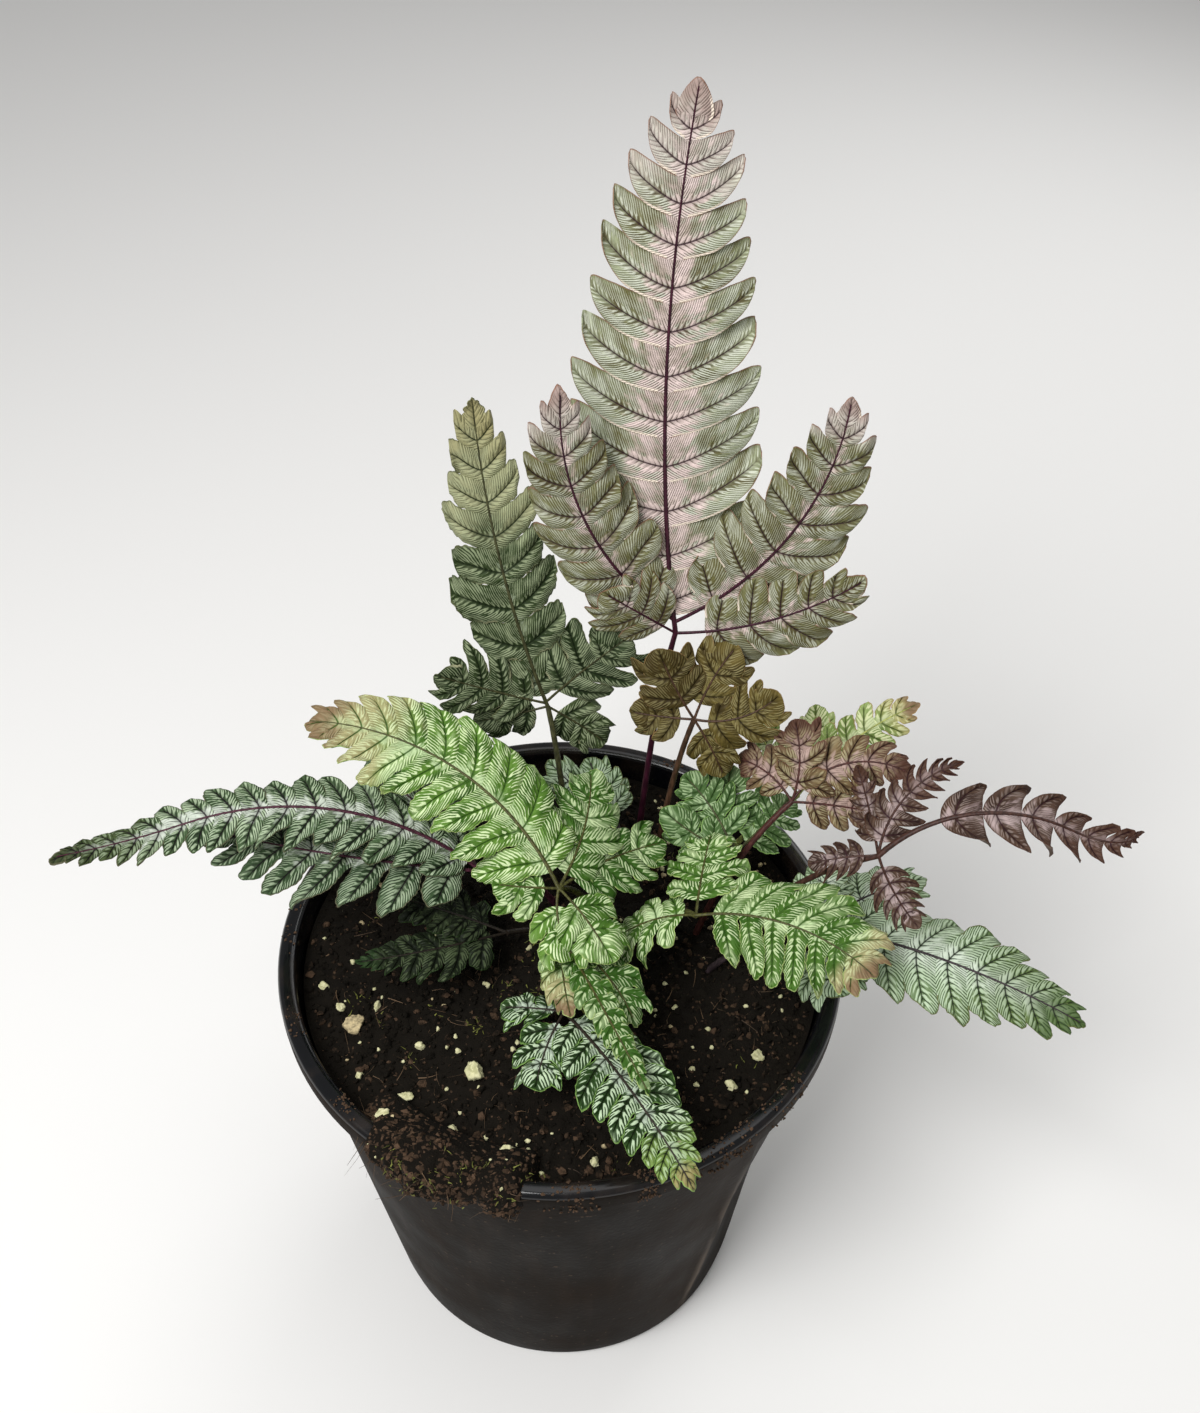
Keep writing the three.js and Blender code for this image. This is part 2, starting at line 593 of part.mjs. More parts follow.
function granuleSolid([x, y, radius, rise], number) {
  const shape = radius < 2 ? THREE.OctahedronGeometry : THREE.IcosahedronGeometry;
  const geometry = new shape(radius, 0);
  geometry.scale(...GRANULE_STRETCH);
  geometry.rotateZ(noise(number, 1) * Math.PI * 2);
  geometry.translate(x, y, soilHeight(Math.hypot(x, y), 0) + rise + radius * GRANULE_RISE);
  return solidFromGeometry(geometry);
}

function soilSolid() {
  const clearPot = turnedSolid(potProfile(GAP), POT_SIDES);
  let soil = soilBed().add(soilSpill().subtract(clearPot));
  GRANULES.forEach((granule, i) => {
    soil = soil.add(granuleSolid(granule, i));
  });
  FRONDS.forEach((frond) => {
    soil = soil.subtract(stalkHole(frond));
  });
  return soil;
}

function addPiece(group, name, solid, colour, roughness) {
  const material = new THREE.MeshStandardMaterial({ color: colour, roughness, metalness: 0 });
  const mesh = new THREE.Mesh(geometryFromSolid(solid), material);
  mesh.name = name;
  group.add(mesh);
}

const fern = new THREE.Group();
fern.name = 'potted_candy_striped_brake_fern';
addPiece(fern, 'pot', potSolid(), 0x1d1b1b, 0.45);
addPiece(fern, 'soil', soilSolid(), 0x2a211b, 0.95);
FRONDS.forEach((frond) => {
  addPiece(fern, frond.name, frondSolid(frond), frond.colour, 0.6);
});

export default fern;
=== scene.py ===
# Potted candy striped brake fern: the finish of every piece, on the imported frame.
# Tables and rules below are in millimetres, as in the frame's source, and meshes are in metres.
# The front of the plant is -Y, and the origin is the centre of the pot's flat underside.

import math
import random
from typing import NamedTuple

import bpy
from mathutils import Matrix, Vector, noise


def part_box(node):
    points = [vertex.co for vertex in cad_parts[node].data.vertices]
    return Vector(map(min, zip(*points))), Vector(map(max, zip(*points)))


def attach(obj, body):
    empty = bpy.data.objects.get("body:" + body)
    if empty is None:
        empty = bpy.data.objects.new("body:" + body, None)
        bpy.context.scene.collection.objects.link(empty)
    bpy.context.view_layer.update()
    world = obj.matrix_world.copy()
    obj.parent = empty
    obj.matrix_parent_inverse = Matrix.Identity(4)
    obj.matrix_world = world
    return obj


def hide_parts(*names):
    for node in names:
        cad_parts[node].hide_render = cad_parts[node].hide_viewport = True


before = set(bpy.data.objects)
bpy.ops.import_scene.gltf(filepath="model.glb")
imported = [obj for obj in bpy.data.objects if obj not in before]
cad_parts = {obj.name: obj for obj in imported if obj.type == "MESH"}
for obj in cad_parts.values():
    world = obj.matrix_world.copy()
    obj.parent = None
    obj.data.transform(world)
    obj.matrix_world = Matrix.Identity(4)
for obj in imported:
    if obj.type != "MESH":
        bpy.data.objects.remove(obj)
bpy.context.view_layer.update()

bl_info = {
    "name": "Potted striped brake fern",
    "version": (1, 0, 0),
    "blender": (4, 5, 0),
    "location": "View3D > Sidebar > Fern",
    "description": "Builds a striped brake fern in a nursery pot, piece by piece",
    "category": "Add Mesh",
}

MM = 0.001
BODY = "root"

# Pot
POT_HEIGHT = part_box("pot")[1][2] / MM
LIP_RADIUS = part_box("pot")[1][1] / MM
BASE_RADIUS = 61
LIP_WIDTH = 5.5
LIP_DEPTH = 8
LIP_FOOT = POT_HEIGHT - LIP_DEPTH
LIP_ROLL = 2.2
FOOT_ROUND = 2
FOOT_ANGLES = (0.4, 0.8, 1.2, 1.5)
QUARTER_TURN = [i * math.pi / 12 for i in range(7)]
POT_WALL = 1.8
POT_FLOOR = 2
DRAIN_HOLES = 6
DRAIN_RADIUS = 4.5
DRAIN_CIRCLE = 46
POT_STEPS = 144

# The lip's gloss starts this far below its top, and goes this far down the inside from its foot
GLOSS_TOP = 1.4
GLOSS_INSIDE = 20

# The dent: its direction and how far it spreads round, in degrees, and its height and how far it spreads up
DENT_TURN = -27
DENT_ROUND = 13
DENT_HEIGHT = 58
DENT_UP = 36

# The crease beside it: how far right of the front at CREASE_HEIGHT, how it leans and how wide it is, in
# degrees, and how far it stands out as a share of the dent's depth
CREASE_TURN = 45
CREASE_HEIGHT = 70
CREASE_LEAN = 0.04
CREASE_ROUND = 2.2
CREASE_SHARE = 0.4

# Soil
SOIL_EDGE = 142
SOIL_CROWN = 3
SOIL_GAP = 0.5
BED_CELLS = 190
BED_RINGS = (110, 80, 50, 20, POT_FLOOR + 0.1)

# Sizes of crumbs on the bed and on the heap, and how many tufts of moss each of them has
CRUMB_SIZES = (0.35, 0.4, 0.45, 0.5, 0.6, 0.7, 1.2)
SPILT_SIZES = (0.4, 0.45, 0.5, 0.6, 0.75, 1.05)
MOSS_TUFTS = 34

# Crumbs lie on the lip in this many clusters between two directions, also on its outer face from LIP_FRONT on
LIP_CLUSTERS = ((266, 300, 9), (300, 345, 8), (196, 226, 3), (-15, 190, 5))
LIP_FRONT = 266

# The heap over the lip: between two directions in degrees, a skin on a section from the bed, over the lip
# and down outside, as (distance out from the lip's edge, height above its top)
SPILL_FROM = 224
SPILL_TO = 268
SPILL_SKIN = 0.6
SPILL_STEPS = 120
SPILL_ROWS = 40
SPILL_SECTION = ((-20, -12), (-16, -5), (-8, 1.2), (-3, 2.6), (1.4, 1.2), (3.0, -3), (2.2, -7), (-2, -7.5))

# The larger perlite grains: x, y, radius and height above the bed
GRAINS = [
    (-24, -42, 3.4, 0), (-60, -26, 2.9, 0), (-43, -50, 2, 0), (-29, -61, 2.1, 0), (-48, -59, 2.3, 5),
    (-13, -69, 2.4, 3.2), (-65, -20, 1.5, 0), (-54, -20, 1.5, 0), (-23, -70, 1.6, 5.5), (58, -35, 2.1, 0),
    (50, -45, 1.9, 0), (11, -70, 1.7, 0), (-40, -34, 1.4, 0), (22, -58, 1.4, 0), (-57, -43, 1.4, 0),
    (-71, -12, 1.4, 0), (-48, 46, 1.9, 0), (50, 44, 1.8, 0),
]
TAN_GRAINS = (1, 8)

# Starts of the random draws; each frond has its own, counted from the first one's
LITTER_SEED = 11
PERLITE_SEED = 5
FROND_SEED = 100

# Blades
RIB_STEPS = 24
RIB_SIDES = 8
RIB_TIP = 0.18
CURL_STEPS = 7  # at the end of a rib, which take its curl
BLADE_SAG = 0.15  # how far a blade's edge hangs below its rib, in half-widths
LOBE_SHINGLE = 0.13  # how far a lobe's edges lie under and over those of its neighbours, in its widths
LOBE_HOOK = 0.5  # share of its lean that a lobe gains on its way out
FIRST_SLANT = 70  # degrees from the rib at which a leaflet's first lobes stand
SICKLE_DROP = 0.24  # share of its lean that a full sickle loses
FIRST_LOBE_SHARE = 0.72  # reach of the first lobes, as a share of the full reach
FULL_REACH_FROM = 0.25  # share of the blade from which lobes have their full reach
TIP_LENGTH = 2  # how far the end lobe goes past its rib
ROW_PITCH = 0.55  # between the rows of points along a lobe
FEWEST_ROWS, MOST_ROWS = 9, 46
COLUMNS = (-1, -0.93, -0.62, -0.3, 0, 0.3, 0.62, 0.93, 1)
SCALLOP_RUN = 2.4
NO_EDGE = 9.0  # stands for the way to a lobe's edge where it is joined to its neighbours

# Millimetres that a veinlet runs along its lobe for each one beside the middle vein, at its foot and its tip
VEINLET_LEAN = 0.8
VEINLET_FAN = 1.8

# Stalks: the height at which they leave the soil, how deep they stand in it, and how far over and up
# they have their bend, as shares of the way to the knot
STALK_EXIT = 145
STALK_DEPTH = 9
STALK_LEAN = 0.35
STALK_RISE = 0.7
STALK_STEPS = 20
STALK_SIDES = 12

# Stage, in metres: the strength of the room's even light, the height that the lamps point at, and the
# camera's aim, its distance from there and its lens in millimetres
ROOM_LIGHT = 0.27
LAMP_AIM = 0.15
CAMERA_AIM = (0.011, 0, 0.250)
CAMERA_DISTANCE = 0.415
CAMERA_LENS = 40.76
CAMERA_TILT = math.radians(44.4)
CAMERA_ROLL = math.radians(0.7)


class Leaflet(NamedTuple):
    """One leaflet: it turns from its frond's way by angle, rises by lift, and bends by sweep and droop"""

    angle: float
    length: float
    half: float
    lobes: int
    sweep: float = 0
    droop: float = 0
    lift: float = 0
    along: float = 0
    bare: float = 3
    join: tuple = ()  # share of the lobes that is joined on its left and right side, where not its cut's own
    tone: float = 0  # 0 for the look's ground colour, up to 1 for its shade colour: the leaflet's own darker colour, and painted shade where it lies under other leaves
    taper: float = 0  # how much shorter its lobes are by its tip
    crowd: float = 1.3  # above 1, its lobes stand closer by its tip
    slant: float = 48  # degrees from the rib at which its last lobes stand
    curl: float = 0  # further fall of its last quarter
    rib: float = 0  # radius of its rib at the foot, where it isn't that of its length
    turned: float = 2  # share of its length from which it turns to the colours of its tip
    cut: str = ""  # where not its look's own


class Frond(NamedTuple):
    """One frond: the root of its stalk, the knot of its leaflets, and heading, pitch and roll there"""

    node: str
    look: str
    root: tuple
    knot: tuple
    face: tuple
    leaflets: list


class Cut(NamedTuple):
    """How a leaflet is cut into lobes. Pairs are for the leaflet's foot and for its tip."""

    join: tuple  # share of a lobe that is joined to its neighbours
    blunt: tuple  # higher is squarer at the lobe's tip
    point: float  # 0.5 is a round tip and 1 a pointed one
    waist: float  # how far a lobe narrows above its join
    swell: tuple  # above 0 lobes overlap, below 0 they stand apart
    sickle: float  # how far a lobe's tip bends towards the leaflet's tip
    scallop: float  # depth of the margin's scallops, in millimetres
    ruffle: float  # height of the margin's waves, in millimetres
    uneven: float  # how much one lobe differs from the next
    puff: float  # how high each half of a lobe arches between its vein and its edge


CUTS = {
    "sickle": Cut((0.03, 0.12), (5.4, 3.6), 0.45, 0.0, (0.1, -0.04), 0.56, 0.04, 0.2, 0.09, 0.1),
    "broad": Cut((0.3, 0.6), (5.0, 3.6), 0.46, 0.05, (0.1, 0.0), 0.35, 0.16, 0.4, 0.14, 0.17),
    "ragged": Cut((0.12, 0.9), (4.6, 3.0), 0.5, 0.08, (0.1, 0.0), 0.15, 0.8, 1.1, 0.2, 0.22),
    "hand": Cut((0.3, 0.6), (3.4, 2.4), 0.5, 0.05, (0.0, -0.15), 0.12, 0.35, 0.5, 0.18, 0.2),
    "cleft": Cut((0.45, 0.6), (4.2, 3.4), 0.44, 0.1, (0.02, -0.06), 0.15, 0.2, 0.4, 0.14, 0.15),
    "crenate": Cut((0.25, 0.93), (4.2, 3.2), 0.5, 0.16, (0.14, 0.02), 0.12, 0.6, 1.0, 0.24, 0.2),
    "round": Cut((0.4, 0.8), (4.2, 3.2), 0.5, 0.18, (0.1, 0.02), 0.1, 0.6, 0.9, 0.24, 0.22),
    "oblong": Cut((0.1, 0.45), (4.2, 2.8), 0.5, 0.04, (0.2, 0.05), 0.25, 0.3, 0.7, 0.2, 0.2),
    "fingers": Cut((0.08, 0.5), (3.8, 2.8), 0.5, 0.15, (0.06, -0.04), 0.15, 0.34, 0.5, 0.18, 0.2),
    "obovate": Cut((0.06, 0.45), (4.4, 3.6), 0.44, 0.2, (0.16, 0.02), 0.1, 0.4, 0.3, 0.14, 0.18),
    "oval": Cut((0.33, 0.6), (2.6, 2.2), 0.56, 0.08, (0.0, -0.08), 0.2, 0.34, 0.5, 0.18, 0.2),
    "comb": Cut((0.04, 0.2), (1.9, 1.5), 0.62, 0.0, (0.0, -0.1), 0.85, 0.08, 0.3, 0.14, 0.12),
    "shell": Cut((0.6, 0.85), (4.2, 3.4), 0.5, 0.06, (0.08, 0.02), 0.12, 0.45, 0.6, 0.14, 0.12),
}
LOOK_CUTS = {
    "silver_pink": "sickle", "dark_green": "ragged", "deep_green": "round", "olive_bronze": "cleft",
    "bright_green": "round", "fresh_green": "fingers", "grey_green": "oblong", "mid_green": "fingers",
    "soft_green": "fingers", "purple_bronze": "oval", "young_purple": "comb", "mint_silver": "shell",
}


class Mark(NamedTuple):
    """How a look's blades are marked. The pitch is in millimetres, and the rest are shares."""

    pitch: float  # between veinlets, before they fork
    wander: float  # how far a veinlet strays, in pitches
    cover: float  # share of the blade under pale strokes
    broken: float  # how broken the strokes are
    lines: float  # strength of the dark veinlets
    faint: float  # how far the veinlets fade towards a lobe's tip
    fold_shade: float  # painted shade beside the middle vein of a lobe, where it folds
    fall: float  # darkness of the side of a lobe that slopes away from the light
    blotch: float  # strength of the darker and paler patches
    heart: float  # share of the lobe that the pale heart reaches
    fade: float  # share of the lobe over which the heart fades
    rolled: float  # strength of the painted highlight on the rolled edge by the cleft, where light catches it and shines through


MARKS = {
    "silver_pink": Mark(1.6, 0.3, 0.38, 2.0, 0.95, 0.6, 0.4, 0.5, 1.0, 0.26, 0.34, 1.0),
    "dark_green": Mark(1.7, 0.4, 0.42, 2.2, 0.7, 0.3, 0.35, 0.3, 0.8, 0.12, 0.2, 0.6),
    "deep_green": Mark(2.2, 0.5, 0.3, 3.0, 0.5, 0.3, 0.4, 0.3, 0.7, 0.05, 0.1, 0.0),
    "olive_bronze": Mark(1.8, 0.4, 0.26, 2.4, 0.6, 0.4, 0.4, 0.4, 0.9, 0.1, 0.2, 0.0),
    "bright_green": Mark(2.1, 0.5, 0.33, 2.2, 0.25, 0.3, 0.14, 0.14, 0.8, 0.08, 0.2, 0.0),
    "fresh_green": Mark(2.3, 0.5, 0.44, 2.4, 0.3, 0.3, 0.2, 0.2, 0.8, 0.2, 0.3, 0.0),
    "grey_green": Mark(1.9, 0.4, 0.4, 2.0, 0.95, 0.2, 0.45, 0.35, 0.8, 0.2, 0.2, 0.0),
    "mid_green": Mark(2.1, 0.4, 0.4, 1.8, 0.9, 0.2, 0.35, 0.25, 0.6, 0.12, 0.2, 0.0),
    "soft_green": Mark(2.1, 0.4, 0.36, 2.2, 0.4, 0.3, 0.16, 0.18, 0.7, 0.1, 0.25, 0.0),
    "purple_bronze": Mark(1.8, 0.4, 0.3, 2.4, 0.6, 0.4, 0.4, 0.4, 0.9, 0.24, 0.24, 0.0),
    "young_purple": Mark(1.8, 0.4, 0.26, 2.4, 0.6, 0.4, 0.4, 0.4, 0.9, 0.14, 0.25, 0.0),
    "mint_silver": Mark(2.0, 0.3, 0.56, 1.6, 1.0, 0.1, 0.14, 0.18, 0.7, 0.26, 0.5, 0.0),
}

# sRGB colours of each part of a blade
LEAF_PARTS = {
    "ground": "Blade between its veins",
    # Shade is also painted shade, on leaflets that lie under other leaves and on the side of a lobe that
    # slopes away from the light
    "shade": "Darker patches and leaflets",
    # Deep is also the painted shade in the fold beside each lobe's middle vein
    "deep": "Folds and veinlets",
    "stripe": "Pale strokes between the veinlets",
    "heart": "Pale patch beside the rib",
    "margin": "Edge of each lobe",
    # Roll is a painted highlight, where light catches a lobe's rolled edge and shines through it
    "roll": "Rolled edge of a lobe by its cleft",
    "blush": "Outer part of the leaflets that turn colour",
    "tip": "Tip of the leaflets that turn colour",
    "vein": "Middle vein of each lobe",
    "rib": "Rib",
}
LEAF_COLOURS = {
    "silver_pink": "9EA584 706E42 46382C DADECC F2DAD6 8E6A58 F8E8D6 D6C9C2 A08880 38202A 2E0F1C",
    "dark_green": "66753F 304022 18240F B8C49C 9CA88C 5E6240 C9C8A0 B2B28A 9C9468 222E18 34341F",
    # The low left frond lies under the others: these colours are its own dark green, darkened further as
    # painted shade
    "deep_green": "1E2A14 161E0E 0A1006 5A6848 343F28 2E4220 2E4220 263C1C 2C4422 0E130A 1A1510",
    "olive_bronze": "6A5C2C 463A18 241B08 948A5E 837848 8A7048 8A7048 74602F 5E4428 2A2008 3A281C",
    "bright_green": "648C36 305814 2C4E14 E4F6C0 C4DCA6 A8BC74 A8BC74 B4AA7E 7E6048 3C6020 3C3C1C",
    "fresh_green": "90A85E 6A8440 4C5826 E0E6B4 CFDAAA A88C60 A88C60 B3A772 7A5A48 566430 7F8447",
    "grey_green": "4C6440 32482C 141E10 B8CAA8 DCE4D6 66644C 66644C 48562F 363F22 241822 3A1A26",
    "mid_green": "284418 365820 0A1606 D2E8C2 C4D4BE 82A858 82A858 7E9A4C 9A8C5C 18240C 26201A",
    "soft_green": "5A7A46 4C6A38 1E3612 C4DCAA B4CCA2 86AA5E 86AA5E 86A05A 9A8C5C 2A4816 34361C",
    "purple_bronze": "84704E 5C482E 2E1B10 B0A682 C2A69E 6E4A3C 6E4A3C 785C4C 4A2C22 301414 3A1E1A",
    "young_purple": "5C4638 42302A 22130C 908078 B8A4A2 4A2E22 4A2E22 5A4034 42291C 351A20 34201A",
    "mint_silver": "859C72 5E7A4A 263820 CADEBE DCE8D6 6E7046 6E7046 5A6E36 48602C 23281F 2A2224",
}

FRONDS = [
    Frond("frond_tall_centre", "silver_pink", (24, 46), (33, 56, 226), (90, 80, 0), [
        Leaflet(-8, 155, 27, 13, sweep=16, bare=6, slant=60, turned=0.8),
        Leaflet(-51, 87, 18, 8, sweep=54, droop=-5, lift=7, along=4, bare=7, taper=0.3,
                tone=0.8, turned=0.8, cut="broad"),
        Leaflet(57, 90, 19, 8, sweep=-54, droop=-5, lift=7, along=4, bare=9, taper=0.3,
                tone=0.8, turned=0.85, cut="broad"),
        Leaflet(80, 58, 17, 6, sweep=-30, droop=5, lift=14, bare=9, taper=0.3, tone=0.9, cut="broad"),
        Leaflet(-50, 27, 13, 4, lift=16, bare=5, tone=1, cut="broad"),
    ]),
    Frond("frond_left_upright", "dark_green", (2, 36), (-5, 53, 198), (95, 76, 0), [
        Leaflet(-18, 99, 17, 9, sweep=15, bare=4, taper=0.1, tone=0.9, turned=0.5),
        Leaflet(42, 33, 16, 4, sweep=8, lift=9, along=2, bare=5, tone=1, cut="hand"),
        Leaflet(-68, 35, 13, 5, sweep=4, lift=9, along=1, bare=5, tone=0.9, cut="hand"),
        Leaflet(-108, 22, 10, 3, sweep=5, lift=-8, bare=4, tone=1, cut="hand"),
        Leaflet(126, 22, 9, 3, sweep=8, lift=-4, bare=4, join=(0.9, 0.9), tone=0.8, cut="round"),
    ]),
    Frond("frond_olive", "olive_bronze", (29, 33), (39, 40, 206), (80, 62, 0), [
        Leaflet(12, 24, 11, 3, sweep=20, lift=-2, bare=5),
        Leaflet(-38, 23, 11, 3, sweep=13, lift=8, bare=5, tone=0.9),
        Leaflet(-96, 18, 9, 3, sweep=7, lift=-4, bare=4, tone=0.7),
        Leaflet(94, 26, 11, 4, sweep=-54, bare=4),
        Leaflet(143, 19, 8, 3, sweep=10, lift=-8, bare=4),
    ]),
    Frond("frond_bright_left", "bright_green", (12, 8), (0, -11, 189), (140, 25, 0), [
        Leaflet(15, 90, 21, 10, sweep=-54, droop=30, lift=10, bare=5, taper=0.15,
                join=(0.2, 0.78), turned=0.64, cut="crenate"),
        Leaflet(74, 42, 14, 5, sweep=-23, droop=15, bare=5, join=(0.6, 0.6), tone=0.8),
        Leaflet(94, 40, 13, 5, sweep=20, lift=-9, bare=6, join=(0.5, 0.5), tone=0.9),
        Leaflet(177, 24, 12, 3, sweep=18, droop=5, bare=5, join=(0.6, 0.6), tone=0.3),
        Leaflet(-125, 19, 10, 3, sweep=-50, droop=5, lift=-12, bare=5),
        Leaflet(-50, 17, 9, 3, sweep=10, droop=10, lift=-2, bare=4, tone=0.4),
    ]),
    Frond("frond_long_left", "grey_green", (-2, 18), (-23, 4, 178), (168, 20, 0), [
        Leaflet(8, 126, 14, 17, sweep=-54, droop=60, lift=14, bare=5, taper=0.15, curl=-50, turned=0.72),
        Leaflet(-21, 83, 18, 9, sweep=30, droop=28, lift=-2, bare=5, tone=0.6, cut="fingers"),
        Leaflet(27, 47, 12, 5, lift=2, bare=5, tone=0.4, cut="fingers"),
    ]),
    Frond("frond_bright_right", "bright_green", (24, 10), (39, -13, 180), (-15, 15, 0), [
        Leaflet(-8, 54, 20, 8, sweep=41, droop=25, lift=5, bare=5, join=(0.65, 0.03),
                tone=0.6, turned=0.82, cut="obovate"),
        Leaflet(-172, 31, 12, 5, sweep=-30, droop=25, lift=-8, bare=4, tone=0.4),
        Leaflet(-95, 31, 13, 5, droop=20, lift=10, bare=5, tone=0.5),
    ]),
    Frond("frond_middle", "soft_green", (35, 22), (52, 17, 172), (85, 40, 0), [
        Leaflet(-24, 27, 11, 5, sweep=-24, droop=20, lift=4, bare=5, tone=1),
        Leaflet(-16, 26, 10, 4, sweep=18, droop=15, lift=-6, bare=6, tone=0.7),
        Leaflet(43, 26, 11, 5, sweep=-4, droop=20, lift=-12, bare=5, tone=1),
        Leaflet(-75, 24, 8, 3, sweep=23, droop=10, lift=10, bare=4, tone=1),
    ]),
    Frond("frond_small_back", "mint_silver", (13, 33), (18, 39, 156), (100, 35, 0), [
        Leaflet(-39, 31, 8, 4, sweep=3, droop=10, bare=6, tone=0.6),
        Leaflet(-22, 24, 9, 4, sweep=10, droop=5, lift=9, bare=6, tone=0.6),
        Leaflet(-8, 20, 8, 4, droop=10, lift=-5, bare=6, tone=0.6),
    ]),
    Frond("frond_bronze", "purple_bronze", (42, 9), (68, 22, 190), (60, 45, 0), [
        Leaflet(1, 23, 10, 4, sweep=-36, lift=8, bare=4, turned=0.6),
        Leaflet(10, 38, 10, 6, sweep=85, droop=15, bare=5, turned=0.6),
        Leaflet(-51, 21, 8, 4, sweep=-45, droop=10, bare=4, turned=0.6),
        Leaflet(70, 24, 8, 4, sweep=9, droop=10, lift=-10, bare=4, turned=0.6),
    ]),
    Frond("frond_back_right", "fresh_green", (43, 27), (74, 45, 168), (45, 45, 0), [
        Leaflet(6, 46, 10, 7, sweep=25, droop=20, lift=2, bare=6, turned=0.75),
        Leaflet(-14, 29, 9, 4, sweep=-27, droop=10, lift=-8, bare=6),
        Leaflet(-74, 28, 9, 4, sweep=12, droop=10, bare=6),
    ]),
    Frond("frond_young_purple", "young_purple", (50, 3), (89, -7, 200), (20, 25, 0), [
        Leaflet(0, 80, 13, 10, sweep=64, droop=83, lift=22, bare=20, taper=0.5, crowd=2,
                slant=55, curl=-137, rib=0.95, turned=0.5),
        Leaflet(-53, 36, 9, 9, sweep=70, lift=10, bare=4, taper=0.3, crowd=1.6,
                join=(0.25, 0.25), turned=0.4),
        Leaflet(-71, 30, 7, 6, sweep=-6, bare=5, taper=0.3, join=(0.3, 0.3), turned=0.6),
        Leaflet(-148, 18, 7, 5, sweep=-15, lift=6, bare=4, join=(0.3, 0.3)),
        Leaflet(103, 23, 7, 6, sweep=-20, droop=10, bare=4, join=(0.4, 0.4)),
    ]),
    Frond("frond_mint_right", "mint_silver", (46, -5), (76, -7, 168), (-18, 10, -8), [
        Leaflet(5, 77, 17, 9, sweep=11, droop=20, lift=5, bare=6, taper=0.2, turned=0.5),
        Leaflet(-59, 36, 12, 5, sweep=26, droop=10, lift=-6, bare=6, tone=0.3),
        Leaflet(-105, 20, 10, 4, sweep=20, droop=10, lift=4, bare=5, tone=0.3),
        Leaflet(67, 20, 12, 4, sweep=-10, droop=15, lift=-8, bare=5, tone=0.3),
    ]),
    Frond("frond_front", "mid_green", (8, -8), (2, -36, 165), (-52, 12, 0), [
        Leaflet(3, 64, 14, 10, sweep=6, droop=25, lift=3, bare=4, taper=0.15, turned=0.72, cut="obovate"),
        Leaflet(66, 23, 10, 4, sweep=-16, droop=15, lift=-6, bare=4, cut="obovate"),
        Leaflet(146, 18, 8, 3, sweep=-3, droop=10),
    ]),
    Frond("frond_front_bright", "bright_green", (14, -1), (1, -15, 172), (-60, 10, 0), [
        Leaflet(32, 25, 8, 5, sweep=-15, droop=20, lift=-2, bare=4, taper=0.3, tone=0.4, turned=0.35),
        Leaflet(8, 57, 6, 11, sweep=-5, droop=25, lift=5, bare=9, taper=0.2, tone=0.9),
        Leaflet(-22, 34, 9, 4, sweep=30, droop=10, lift=-6, bare=8, tone=1),
    ]),
    # This frond lies under the others, and its look and tones are darkened as painted shade
    Frond("frond_low_left", "deep_green", (0, 6), (-16, -3, 158), (185, 10, 0), [
        Leaflet(-21, 44, 12, 8, sweep=13, droop=8, bare=5, taper=0.4, crowd=1.6, tone=0.5, turned=0.85),
        Leaflet(16, 38, 11, 8, sweep=-3, droop=8, lift=9, bare=6, taper=0.4, tone=1, turned=0.85),
    ]),
]


def linear(hex_code):
    """An sRGB colour, written in hex, as the linear values that Blender works in"""
    channels = [int(hex_code[i:i + 2], 16) / 255 for i in (0, 2, 4)]
    return tuple(c / 12.92 if c <= 0.04045 else ((c + 0.055) / 1.055) ** 2.4 for c in channels)


def mix(a, b, share):
    return a + (b - a) * share


def clamp(value, low=0.0, high=1.0):
    return min(max(value, low), high)


def smooth(low, high, value):
    """Eases from 0 to 1 as a value goes from low to high"""
    t = clamp((value - low) / (high - low))
    return t * t * (3 - 2 * t)


def mixed(colour, other, share):
    return tuple(mix(a, b, share) for a, b in zip(colour, other))


def times(colour, factor):
    return tuple(c * factor for c in colour)


def tint(name, description, hex_code):
    """A colour property"""
    return bpy.props.FloatVectorProperty(
        name=name, description=description, default=linear(hex_code), min=0, max=1, subtype="COLOR")


def span(name, description, millimetres):
    """A length property"""
    return bpy.props.FloatProperty(
        name=name, description=description, default=millimetres * MM, min=0, unit="LENGTH")


def count(name, description, number):
    """A number of pieces"""
    return bpy.props.IntProperty(name=name, description=description, default=number, min=0)


def power(name, description, watts):
    """A light's power"""
    return bpy.props.FloatProperty(
        name=name, description=description, default=watts, min=0, unit="POWER")


class PotSettings(bpy.types.PropertyGroup):
    body: tint("Body", "Moulded plastic of the wall", "100B06")
    dust: tint("Dust", "Dry soil dust on the wall", "43352A")
    # Painted highlight along the crease's ridge
    ridge_highlight: tint("Ridge highlight", "Paler ridge of the crease", "7D7064")
    lip: tint("Lip", "Clean rolled lip", "08090C")
    dent: span("Dent", "Depth of the dent in the wall", 4)


class SoilSettings(bpy.types.PropertyGroup):
    peat: tint("Peat", "Moist peat", "120E08")
    dry: tint("Dry crumbs", "Dry peat and bark", "5A4636")
    fibre: tint("Fibre", "Coir and root fibres", "6E563D")
    perlite: tint("Perlite", "Clean grains of perlite", "DCD8AC")
    tan: tint("Stained perlite", "Grains stained by the soil", "C8B68C")
    moss: tint("Moss", "Moss and algae", "7B7E34")
    crumbs: count("Crumbs", "Loose crumbs on the soil", 7200)
    spilt: count("Spilt crumbs", "Loose crumbs on the heap over the lip", 6000)
    fibres: count("Fibres", "Fibres on the soil", 420)
    grit: count("Small grains", "Small grains of perlite", 170)
    sprigs: count("Moss sprigs", "Sprigs of moss", 680)


